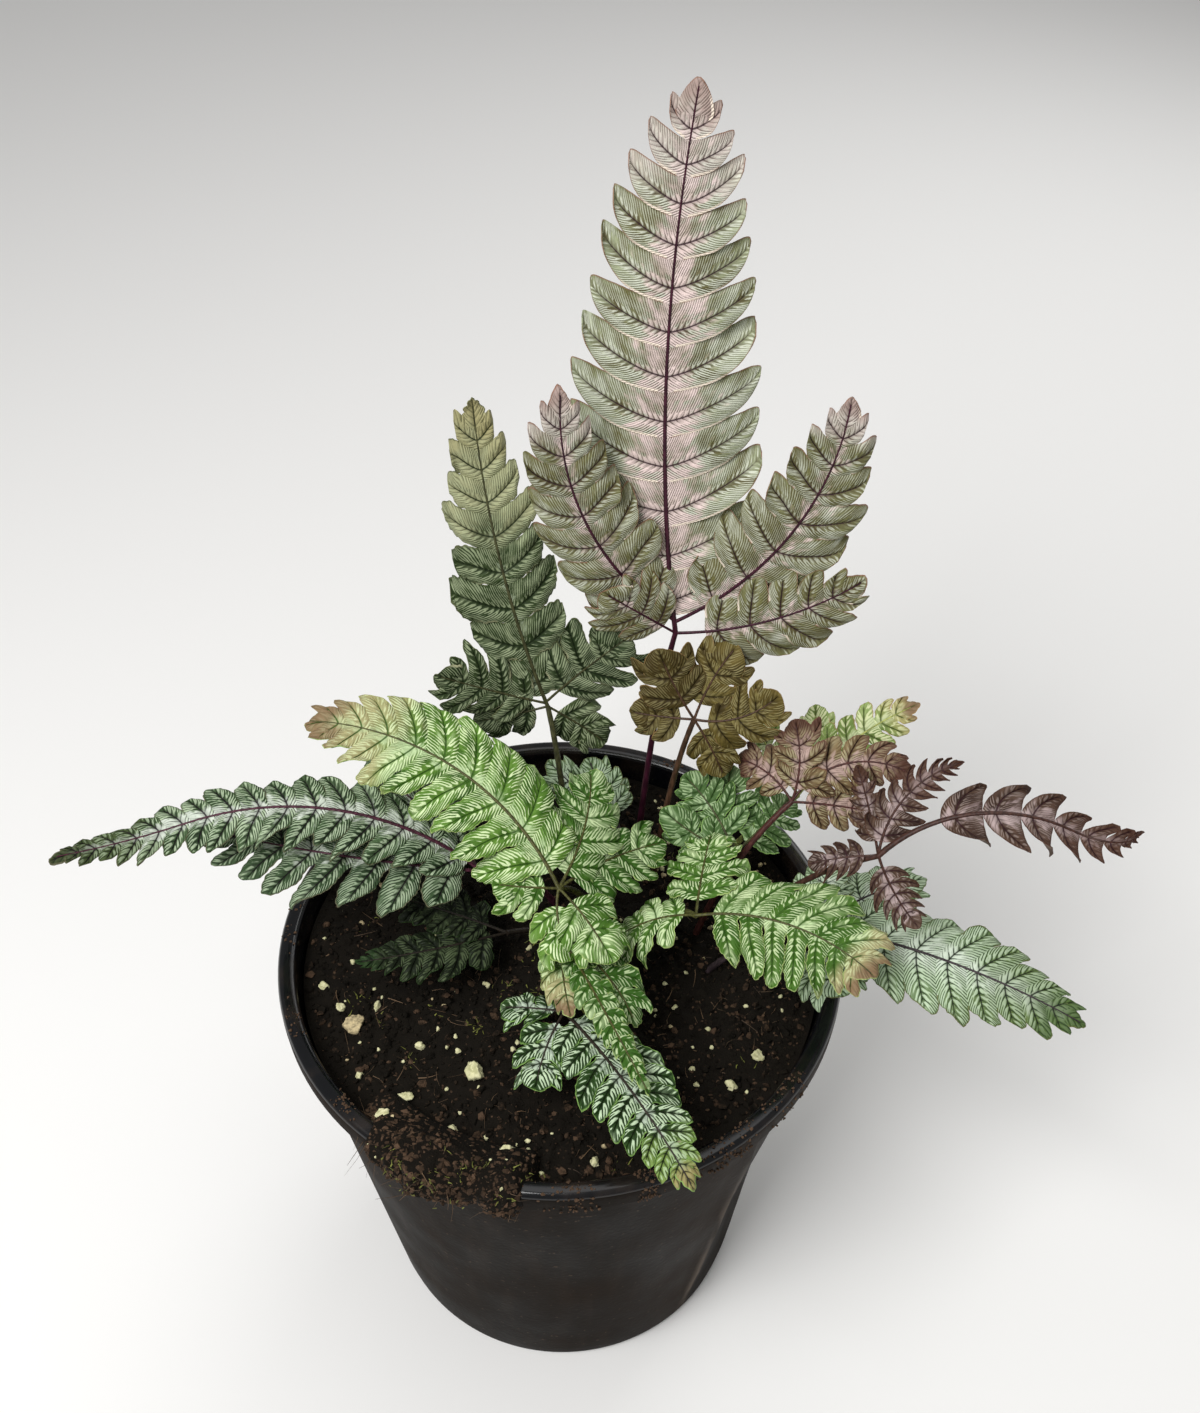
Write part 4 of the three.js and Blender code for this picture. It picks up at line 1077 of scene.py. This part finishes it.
def rock(rng, level, cuts=0):
    """A lumpy pebble of about 1 mm radius, as points and faces, with this many flat sides broken off it"""
    bpy.ops.object.select_all(action="DESELECT")
    bpy.ops.mesh.primitive_ico_sphere_add(subdivisions=level, radius=1)
    pebble = bpy.context.object
    shift = Vector((rng.uniform(0, 90), rng.uniform(0, 90), rng.uniform(0, 90)))
    sides = [Vector((rng.gauss(0, 1), rng.gauss(0, 1), rng.gauss(0, 1))).normalized() for _ in range(cuts)]
    points = []
    for vertex in pebble.data.vertices:
        way = vertex.co.normalized()
        depth = min([1.15] + [0.72 / max(0.3, way.dot(side)) for side in sides])
        lump = 1 + (0.2 if cuts else 0.45) * noise.fractal(way * 1.6 + shift, 0.8, 2, 3)
        points.append(way * (depth * lump))
    faces = [tuple(face.vertices) for face in pebble.data.polygons]
    bpy.data.objects.remove(pebble)
    return points, faces


def set_down(sheet, shape, place, size, turn, own):
    """Adds a copy of a shape at its place, with its size along each axis, turned"""
    points, faces = shape
    first = len(sheet.points)
    scale = Matrix.Diagonal(size)
    for point in points:
        sheet.add(place + turn @ (scale @ point), share=(0, 0, own))
    sheet.faces += [tuple(first + k for k in face) for face in faces]


def random_turn(rng):
    axis = Vector((rng.gauss(0, 1), rng.gauss(0, 1), rng.gauss(0, 1))).normalized()
    return Matrix.Rotation(rng.uniform(0, 2 * math.pi), 3, axis)


def on_bed(rng, margin=2.0):
    """A random place on the bed"""
    radius = (wall_radius(SOIL_EDGE) - POT_WALL - margin) * math.sqrt(rng.random())
    turn = rng.uniform(0, 2 * math.pi)
    x, y = radius * math.cos(turn), radius * math.sin(turn)
    return Vector((x, y, soil_height(x, y)))


def on_lip(rng, low, high, width):
    """A random place on the lip between two directions in degrees"""
    turn = math.radians(rng.uniform(low, high))
    radius = LIP_RADIUS - LIP_WIDTH / 2 + rng.uniform(-width, width)
    return Vector((radius * math.cos(turn), radius * math.sin(turn), POT_HEIGHT))


def on_lip_face(rng, low, high):
    """A random place on the lip's outer face"""
    turn = math.radians(rng.uniform(low, high))
    height = POT_HEIGHT - rng.uniform(1, LIP_DEPTH)
    return Vector((LIP_RADIUS * math.cos(turn), LIP_RADIUS * math.sin(turn), height))


def crumb_size(rng, size):
    """A crumb's size along each axis"""
    return size, size * rng.uniform(0.5, 1), size * rng.uniform(0.4, 0.8)


class FERN_OT_litter(bpy.types.Operator):
    """Litter: crumbs of peat and bark, fibres and moss on the soil, the spill and the lip"""

    bl_idname = "fern.litter"
    bl_label = "Crumbs, fibres and moss"

    def execute(self, context):
        settings = context.scene.fern_soil
        rng = random.Random(LITTER_SEED)
        self.make_crumbs(rng, settings)
        self.make_fibres(rng, settings)
        self.make_moss(rng, settings)
        return {"FINISHED"}

    def make_crumbs(self, rng, settings):
        shapes = [rock(rng, 1) for _ in range(12)]
        bed, spilt = Sheet(), Sheet()
        for _ in range(settings.crumbs):
            size = crumb_size(rng, rng.choice(CRUMB_SIZES) * rng.uniform(0.7, 1.2))
            place = on_bed(rng, 1.5) + Vector((0, 0, size[0] * 0.15))
            # Crumbs are paler and browner in front and on the right, and darker towards the back left.
            darkening = mix(4.5, 1.7, smooth(-60, 60, place.x - place.y))
            set_down(bed, rng.choice(shapes), place, size, random_turn(rng), rng.random() ** darkening)
        for _ in range(settings.spilt):
            size = rng.choice(SPILT_SIZES) * rng.uniform(0.7, 1.2)
            place = spill_point(rng.uniform(0.01, 0.99), rng.uniform(0.14, 0.97))
            size = crumb_size(rng, size)
            set_down(spilt, rng.choice(shapes), place, size, random_turn(rng), rng.random())
        for low, high, clusters in LIP_CLUSTERS:
            for _ in range(clusters):
                middle, spread = rng.uniform(low, high), rng.uniform(0.6, 2.5)
                for _ in range(rng.randint(8, 34)):
                    size = rng.uniform(0.16, 0.52)
                    face = rng.random() < 0.5 and low >= LIP_FRONT
                    at = rng.gauss(middle, spread)
                    place = on_lip_face(rng, at, at) if face else on_lip(rng, at, at, 2.2)
                    size = crumb_size(rng, size)
                    set_down(spilt, rng.choice(shapes), place, size, random_turn(rng), rng.uniform(0.7, 1))
        moist = peat_material("peat crumbs", settings.peat, settings.dry, 0.85)
        finish_soil(bed.to_object("peat_crumbs"), moist, 50)
        brown = mixed(settings.peat, settings.dry, 0.35)
        drier = peat_material("spilt crumbs", brown, settings.dry, 1)
        finish_soil(spilt.to_object("spilt_crumbs"), drier, 50)

    def make_fibres(self, rng, settings):
        sheet = Sheet()
        for i in range(settings.fibres):
            spilt = i % 5 == 0
            place = spill_point(rng.uniform(0.05, 0.95), rng.uniform(0.3, 0.9)) if spilt else on_bed(rng, 6)
            self.add_strand(sheet, rng, place, rng.uniform(3, 9), rng.uniform(0.09, 0.2), 0.25, 3)
        coir = tuft_material("coir fibre", times(settings.fibre, 0.3), settings.fibre)
        finish_soil(sheet.to_object("peat_fibres"), coir, 80)

    def make_moss(self, rng, settings):
        sheet = Sheet()
        centres = [spill_point(rng.uniform(0.3, 0.98), rng.uniform(0.2, 0.75)) for _ in range(MOSS_TUFTS)]
        centres += [on_bed(rng, 4) for _ in range(MOSS_TUFTS)]
        for _ in range(settings.sprigs):
            centre = rng.choice(centres)
            place = centre + Vector((rng.gauss(0, 1.6), rng.gauss(0, 1.6), 0))
            if place.xy.length < wall_radius(SOIL_EDGE) - POT_WALL - 1:
                place.z = soil_height(place.x, place.y)
            self.add_strand(sheet, rng, place, rng.uniform(0.9, 2.0), rng.uniform(0.16, 0.3), 1.3, 2)
        moss = tuft_material("moss", times(settings.moss, 0.35), settings.moss)
        finish_soil(sheet.to_object("moss_sprigs"), moss, 80)

    def add_strand(self, sheet, rng, place, length, radius, rise, steps):
        """A tapering bent strand that leaves its place in a random direction"""
        heading = rng.uniform(0, 2 * math.pi)
        way = Vector((math.cos(heading), math.sin(heading), rng.uniform(0, rise))).normalized()
        bend = Vector((rng.gauss(0, 0.35), rng.gauss(0, 0.35), rng.uniform(-0.25, 0.05)))
        side = way.cross(Vector((0, 0, 1))).normalized()
        own = rng.random()
        first = len(sheet.points)
        path = []
        for i in range(steps + 1):
            t = i / steps
            centre = place + (way + bend * t) * (length * (t - 0.15))
            thick = radius * (1 - 0.75 * t)
            path.append((centre, side, side.cross(way), thick, thick))
        sheet.tube(path, 3)
        for k in range(first, len(sheet.points)):
            sheet.shares[k] = (0, 0, own)


class FERN_OT_perlite(bpy.types.Operator):
    """Perlite: puffed grains in the soil, the largest where the photograph shows them"""

    bl_idname = "fern.perlite"
    bl_label = "Perlite"

    def execute(self, context):
        settings = context.scene.fern_soil
        rng = random.Random(PERLITE_SEED)
        clean, stained = Sheet(), Sheet()
        for i, (x, y, radius, rise) in enumerate(GRAINS):
            place = Vector((x, y, soil_height(x, y) + rise + radius * 0.3))
            size = (radius, radius * rng.uniform(0.8, 1), radius * rng.uniform(0.75, 0.9))
            target = stained if i in TAN_GRAINS else clean
            set_down(target, rock(rng, 4, 9), place, size, random_turn(rng), rng.random())
        shapes = [rock(rng, 2, 7) for _ in range(8)]
        for i in range(settings.grit):
            radius = rng.uniform(0.35, 1.15)
            place = on_bed(rng, 3) + Vector((0, 0, radius * 0.4))
            if i % 9 == 0:
                place = spill_point(rng.uniform(0.05, 0.95), rng.uniform(0.2, 0.8))
            size = (radius, radius * rng.uniform(0.6, 1), radius * rng.uniform(0.6, 0.9))
            target = stained if i % 4 == 0 else clean
            set_down(target, rng.choice(shapes), place, size, random_turn(rng), rng.random())
        # The clean grains' hollows are stained by algae and darkened as painted shade; the stained grains'
        # hollows are painted shade alone
        algae = mixed(settings.perlite, settings.moss, 0.45)
        chalk = perlite_material("perlite grains", settings.perlite, algae)
        tan = perlite_material("stained grains", settings.tan, times(settings.tan, 0.45))
        finish_soil(clean.to_object("perlite_grains"), chalk, 60)
        finish_soil(stained.to_object("stained_grains"), tan, 60)
        return {"FINISHED"}


# Fronds

class Face(NamedTuple):
    """Direction along a blade, the direction to its right and the one out of its upper face"""

    along: Vector
    right: Vector
    up: Vector


def turn_face(face, angle, lift, roll):
    """Turns a face to its right, up, and about its own direction"""
    def rotate(p, q, degrees):
        c, s = math.cos(math.radians(degrees)), math.sin(math.radians(degrees))
        return p * c + q * s, q * c - p * s

    along, right = rotate(face.along, face.right, angle)
    along, up = rotate(along, face.up, lift)
    right, up = rotate(right, up, roll)
    return Face(along, right, up)


def frond_face(heading, pitch, roll):
    h, p = math.radians(heading), math.radians(pitch)
    along = Vector((math.cos(p) * math.cos(h), math.cos(p) * math.sin(h), math.sin(p)))
    right = Vector((math.sin(h), -math.cos(h), 0))
    return turn_face(Face(along, right, right.cross(along)), 0, 0, roll)


def rib_line(leaf, knot, face):
    """A leaflet's rib as (point, face) in even steps"""
    point = Vector(knot) + face.along * leaf.along
    turned = turn_face(face, leaf.angle, leaf.lift, 0)
    line = [(point, turned)]
    turn = leaf.sweep / RIB_STEPS / 2
    for i in range(RIB_STEPS):
        curl = leaf.curl / CURL_STEPS if i >= RIB_STEPS - CURL_STEPS else 0
        fall = -(leaf.droop / RIB_STEPS + curl) / 2
        half = turn_face(turned, turn, fall, 0)
        point = point + half.along * (leaf.length / RIB_STEPS)
        turned = turn_face(half, turn, fall, 0)
        line.append((point, turned))
    return line


def on_blade(line, leaf, s, v, rise):
    """The point at a distance along the rib, beside it and above the blade"""
    place = s / leaf.length * RIB_STEPS
    at = int(clamp(place, 0, RIB_STEPS - 1))
    (a, face_a), (b, face_b) = line[at], line[at + 1]
    share = clamp(place - at)
    right = face_a.right.lerp(face_b.right, share)
    up = face_a.up.lerp(face_b.up, share)
    return a.lerp(b, place - at) + right * v + up * (rise - BLADE_SAG * v * v / leaf.half)


def reach_at(leaf, s):
    """How far the lobes reach from the rib at a distance along it"""
    t = clamp((s - leaf.bare) / (leaf.length - leaf.bare))
    rise = mix(FIRST_LOBE_SHARE, 1, min(1, t / FULL_REACH_FROM))
    return leaf.half * (1 - t ** 3) ** 0.8 * rise * (1 - leaf.taper * t)


def strip_edges(leaf):
    """Where the strips of the lobes meet along the rib"""
    blade = leaf.length - leaf.bare
    return [leaf.bare + blade * (1 - (1 - i / leaf.lobes) ** leaf.crowd) for i in range(leaf.lobes + 1)]


def lobe_half(cut, join, t, more, u):
    """A lobe's half-width at a share of its length, in widths of its strip, t of the way along the leaflet"""
    w = clamp((u - join) / (1 - join))
    waist = 1 - cut.waist * smooth(0, 0.12, w) * smooth(0.62, 0.12, w)
    swell = mix(*cut.swell, t) + more
    bulge = 1 + swell * math.sin(math.pi * min(1, w * 1.3))
    return 0.5 * waist * (1 - w ** mix(*cut.blunt, t)) ** cut.point * bulge


def scallop(cut, join, mids, edge, start):
    """Moves one edge of a lobe out and in again, in scallops of about 2 mm"""
    run = start
    moved = [edge[0]]
    rows = len(edge) - 1
    for j in range(1, rows + 1):
        run += (edge[j] - edge[j - 1]).length
        heart = mids[min(j, round(rows * 0.7))]
        out = edge[j] - heart
        fade = smooth(join, join + 0.2, j / rows)
        wave = abs(math.sin(math.pi * run / SCALLOP_RUN)) - 0.6 + 0.3 * math.sin(run * 0.9 + start)
        shift = out.normalized() * (cut.scallop * wave * fade)
        moved.append(edge[j] + shift if out.length > 0.2 else edge[j])
    return moved


def add_lobe(sheet, line, leaf, cut, side, low, high, rng):
    """One lobe on one side of the rib, between two clefts"""
    width = high - low
    t = clamp(((low + high) / 2 - leaf.bare) / (leaf.length - leaf.bare))
    own = leaf.join[0 if side < 0 else 1] if leaf.join else cut.join[0]
    join = mix(own, max(own, cut.join[1]), t ** 1.5)
    reach = reach_at(leaf, (low + high) / 2) * (0.99 + rng.uniform(-0.6, 0.4) * cut.uneven)
    lift = rng.uniform(-0.9, 0.9) * cut.uneven * (1 - join)
    more = rng.uniform(-0.8, 0.8) * cut.uneven
    rows = round(clamp(reach / ROW_PITCH, FEWEST_ROWS, MOST_ROWS))

    def flow(across, v, free):
        """The place at a share across the strip and a distance from the rib, which is free above the join"""
        base = low + across * width
        t = clamp((base - leaf.bare) / (leaf.length - leaf.bare))
        lean = (1 - SICKLE_DROP * cut.sickle) / math.tan(math.radians(mix(FIRST_SLANT, leaf.slant, t * t)))
        hook = 1 - LOBE_HOOK + LOBE_HOOK * v / max(1, reach_at(leaf, base))
        return Vector((base + v * (lean * hook + lift * free), v))

    mids, lower, upper = [], [], []
    for j in range(rows + 1):
        u = 1 - (1 - j / rows) ** 1.3
        free = smooth(join, 1, u)
        half = lobe_half(cut, join, t, more * free, u)
        centre = 0.5 + cut.sickle * max(0, 0.5 - half) * smooth(join, 1, u)
        vein = mix(0.36, centre, smooth(0, 0.8, u))
        mids.append(flow(vein, u * reach, free))
        lower.append(flow(centre - half, u * reach, free))
        upper.append(flow(centre + half, u * reach, free))
    start = rng.uniform(0, 9)
    lower, upper = scallop(cut, join, mids, lower, start), scallop(cut, join, mids, upper, start + 1)
    add_petal(sheet, line, leaf, cut, join, side, mids, lower, upper, width, rng)


def add_petal(sheet, line, leaf, cut, join, side, mids, lower, upper, width, rng):
    """Fills a lobe's outline with rows of points between its two edges, and gives it its relief"""
    rows = len(mids) - 1
    seed = rng.random()
    curl = rng.uniform(-1, 0.4) * (0.05 + cut.uneven)
    twist = rng.uniform(-1, 1) * (0.05 + cut.uneven)
    arc = [0.0]
    for j in range(1, rows + 1):
        arc.append(arc[-1] + (mids[j] - mids[j - 1]).length)
    total = arc[-1]
    coloured = max(0.01, 1 - leaf.turned)
    low_row = None
    for j in range(rows):
        u = arc[j] / total
        way = (mids[j + 1] - mids[max(j - 1, 0)]).normalized()
        free = smooth(join, 1, u)
        fan = mix(VEINLET_LEAN, VEINLET_FAN, u * u)
        row = []
        for c in COLUMNS:
            edge = upper[j] if c > 0 else lower[j]
            spread = edge - mids[j]
            share = abs(c)
            at = mids[j] + spread * share
            off = at - mids[j]
            puff = cut.puff * spread.length * (1 - (2 * share - 1) ** 2) * smooth(0, 0.3, u)
            shingle = -LOBE_SHINGLE * width * c * free * smooth(0, 0.3, u)
            wave = cut.ruffle * share * share * free * math.sin(arc[j] * 0.8 + seed * 20 + c)
            rise = puff + shingle + wave + total * (curl * free * u + twist * c * free * 0.5)
            inset = min(spread.length * (1 - share), total - arc[j]) if u > join else NO_EDGE
            across = abs(way.cross(off))
            phase = arc[j] + off.dot(way) - across * fan + seed * 40
            measure = (phase, math.copysign(across, c) if c else 0, inset)
            turned = (at.x / leaf.length - leaf.turned) / coloured if leaf.turned < 1 else -1
            point = on_blade(line, leaf, at.x, side * at.y, rise)
            row.append(sheet.add(point, measure, (turned, u, seed)))
        if low_row:
            sheet.strip(low_row, row, flip=side > 0)
        low_row = row
    end = mids[rows]
    tip = sheet.add(on_blade(line, leaf, end.x, side * end.y, total * curl),
                    (total + seed * 40, 0, 0), (turned, 1, seed))
    for k in range(len(low_row) - 1):
        face = (low_row[k], low_row[k + 1], tip)
        sheet.faces.append(face[::-1] if side > 0 else face)


def add_end_lobe(sheet, line, leaf, cut, start, rng):
    """The tapered lobe that ends a leaflet, along its rib"""
    length = leaf.length + TIP_LENGTH - start
    wide = max(0.8 * reach_at(leaf, start), 0.3 * length)
    blunt = mix(2.6, 1.8, smooth(30, 60, leaf.length))
    mids, lower, upper = [], [], []
    rows = round(clamp(length / 0.6, 10, 30))
    for j in range(rows + 1):
        u = 1 - (1 - j / rows) ** 1.2
        half = wide * smooth(-0.4, 0.25, u) * (1 - u ** blunt) ** 0.7
        mids.append(Vector((start + u * length, 0)))
        lower.append(Vector((start + u * length, -half)))
        upper.append(Vector((start + u * length, half)))
    lower, upper = scallop(cut, 0.1, mids, lower, 0), scallop(cut, 0.1, mids, upper, 1)
    add_petal(sheet, line, leaf, cut, 0, 1, mids, upper, lower, wide, rng)


def add_leaflet(sheet, ribs, leaf, cut, knot, face, rng):
    """One leaflet: its lobes in pairs, the lobe that ends it, and its rib"""
    line = rib_line(leaf, knot, face)
    sheet.tone = leaf.tone
    edges = strip_edges(leaf)
    for low, high in zip(edges[:-2], edges[1:-1]):
        for side in (-1, 1):
            add_lobe(sheet, line, leaf, cut, side, low, high, rng)
    add_end_lobe(sheet, line, leaf, cut, mix(edges[-3], edges[-2], 0.6), rng)
    # The longest leaflet's rib has almost twice the radius of a short one's, and ribs stand on the blades.
    thick = leaf.rib or 0.38 + leaf.length / 155 * 0.4
    path = []
    for i, (point, turned) in enumerate(line):
        radius = mix(thick, RIB_TIP, i / RIB_STEPS)
        path.append((point + turned.up * 0.15, turned.right, turned.up, radius, radius * 0.8))
    ribs.tube(path, RIB_SIDES)


def stalk_path(frond, radius):
    """The stalk: straight out of its hole in the soil, then bending over to its knot"""
    knot = Vector(frond.knot)
    way_out = Vector((*frond.root, STALK_EXIT))
    bend = way_out.lerp(knot, STALK_LEAN)
    bend.z = mix(way_out.z, knot.z, STALK_RISE)
    direction = (bend - way_out).normalized()
    points = [way_out - direction * STALK_DEPTH]
    for i in range(STALK_STEPS + 1):
        t = i / STALK_STEPS
        points.append(way_out * (1 - t) ** 2 + bend * (2 * t * (1 - t)) + knot * t * t)
    path = []
    for i, point in enumerate(points):
        way = (points[min(i + 1, len(points) - 1)] - points[max(i - 1, 0)]).normalized()
        side = way.cross(Vector((0, 1, 0))).normalized()
        t = i / (len(points) - 1)
        wide = radius * mix(1.0, 0.78, t) * (1 + 0.05 * math.sin(i * 2.3 + knot.x))
        path.append((point, side, way.cross(side) * -1, wide, wide))
    return path


class FERN_OT_fronds(bpy.types.Operator):
    """Fronds: for each one its stalk, its ribs and the cut blades of its leaflets"""

    bl_idname = "fern.fronds"
    bl_label = "Fronds"

    def execute(self, context):
        settings = context.scene.fern_leaves
        finishes = {}
        for look, mark in MARKS.items():
            colours = getattr(settings, look)
            finishes[look] = (
                leaf_material(look, colours, mark),
                underside_material(look, colours),
                stalk_material(look, colours),
            )
        for number, frond in enumerate(FRONDS):
            rng = random.Random(FROND_SEED + number)
            self.make_frond(frond, finishes[frond.look], settings, rng)
        return {"FINISHED"}

    def make_frond(self, frond, finish, settings, rng):
        face = frond_face(*frond.face)
        sheet, ribs = Sheet(), Sheet()
        for leaf in frond.leaflets:
            add_leaflet(sheet, ribs, leaf, CUTS[leaf.cut or LOOK_CUTS[frond.look]], frond.knot, face, rng)
        ribs.tube(stalk_path(frond, settings.stalk / MM), STALK_SIDES)
        blades = sheet.to_object(frond.node.replace("frond", "fern_frond"))
        stems = ribs.to_object(f"{frond.node}_stems")
        for material in finish:
            blades.data.materials.append(material)
            stems.data.materials.append(material)
        for face in stems.data.polygons:
            face.material_index = 2
        apply_modifier(blades, "SOLIDIFY", thickness=settings.blade, offset=0, material_offset=1)
        smooth_faces(blades, 40)
        smooth_faces(stems, 60)
        choose(blades, stems)
        bpy.ops.object.join()
        finish_piece(blades, [frond.node])


# Stage

class FERN_OT_stage(bpy.types.Operator):
    """Stage: a pale floor, soft studio light and the camera at the photograph's angle"""

    bl_idname = "fern.stage"
    bl_label = "Stage"

    def execute(self, context):
        settings = context.scene.fern_stage
        bpy.ops.object.select_all(action="DESELECT")
        bpy.ops.mesh.primitive_plane_add(size=6, location=(0, 0, -0.0002))
        floor = context.object
        floor.name = "floor"
        floor.data.materials.append(floor_material(settings.floor))
        world = bpy.data.worlds.new("soft_room")
        world.use_nodes = True
        room = world.node_tree.nodes["Background"].inputs
        room["Color"].default_value = (1, 1, 1, 1)
        room["Strength"].default_value = ROOM_LIGHT
        context.scene.world = world
        context.scene.view_settings.view_transform = "Standard"
        self.add_light("key", (-0.45, -0.55, 1.1), 0.6, settings.key)
        self.add_light("top", (0.1, 0.15, 1.3), 0.8, settings.fill * 0.6)
        self.add_light("back", (0.5, 0.8, 0.7), 0.6, settings.fill * 0.6)
        self.add_camera(context)
        return {"FINISHED"}

    def add_light(self, name, place, size, power):
        bpy.ops.object.light_add(type="AREA", location=place)
        light = bpy.context.object
        light.name = name
        light.data.size = size
        light.data.energy = power
        aim = Vector((0, 0, LAMP_AIM)) - Vector(place)
        light.rotation_euler = aim.to_track_quat("-Z", "Y").to_euler()

    def add_camera(self, context):
        """The photograph looks down at 44 degrees from about 415 mm, through a 41 mm lens"""
        back = Vector((0, -math.cos(CAMERA_TILT), math.sin(CAMERA_TILT)))
        bpy.ops.object.camera_add(location=Vector(CAMERA_AIM) + back * CAMERA_DISTANCE)
        camera = context.object
        camera.data.lens = CAMERA_LENS
        look = Matrix.Rotation(math.pi / 2 - CAMERA_TILT, 4, "X") @ Matrix.Rotation(CAMERA_ROLL, 4, "Z")
        camera.rotation_euler = look.to_euler()
        context.scene.camera = camera


class FERN_PT_panel(bpy.types.Panel):
    """Lists the pieces of the fern and their settings"""

    bl_label = "Fern"
    bl_idname = "FERN_PT_panel"
    bl_space_type = "VIEW_3D"
    bl_region_type = "UI"
    bl_category = "Fern"

    def draw(self, context):
        scene = context.scene
        for operator in PIECES:
            self.layout.operator(operator.bl_idname)
        for group in (scene.fern_pot, scene.fern_soil, scene.fern_stage, scene.fern_leaves):
            for name in group.bl_rna.properties.keys():
                if name not in ("rna_type", "name"):
                    self.layout.prop(group, name)


PIECES = (FERN_OT_pot, FERN_OT_soil, FERN_OT_litter, FERN_OT_perlite, FERN_OT_fronds, FERN_OT_stage)
GROUPS = (PotSettings, SoilSettings, *LEAF_GROUPS.values(), FernSettings, StageSettings)
CLASSES = (*GROUPS, *PIECES, FERN_PT_panel)


def register():
    for cls in CLASSES:
        bpy.utils.register_class(cls)
    bpy.types.Scene.fern_pot = bpy.props.PointerProperty(type=PotSettings)
    bpy.types.Scene.fern_soil = bpy.props.PointerProperty(type=SoilSettings)
    bpy.types.Scene.fern_leaves = bpy.props.PointerProperty(type=FernSettings)
    bpy.types.Scene.fern_stage = bpy.props.PointerProperty(type=StageSettings)


def unregister():
    for name in ("fern_pot", "fern_soil", "fern_leaves", "fern_stage"):
        delattr(bpy.types.Scene, name)
    for cls in reversed(CLASSES):
        bpy.utils.unregister_class(cls)


def main():
    register()
    bpy.ops.fern.pot()
    bpy.ops.fern.soil()
    bpy.ops.fern.litter()
    bpy.ops.fern.perlite()
    bpy.ops.fern.fronds()
    bpy.ops.fern.stage()


if __name__ == "__main__":
    main()
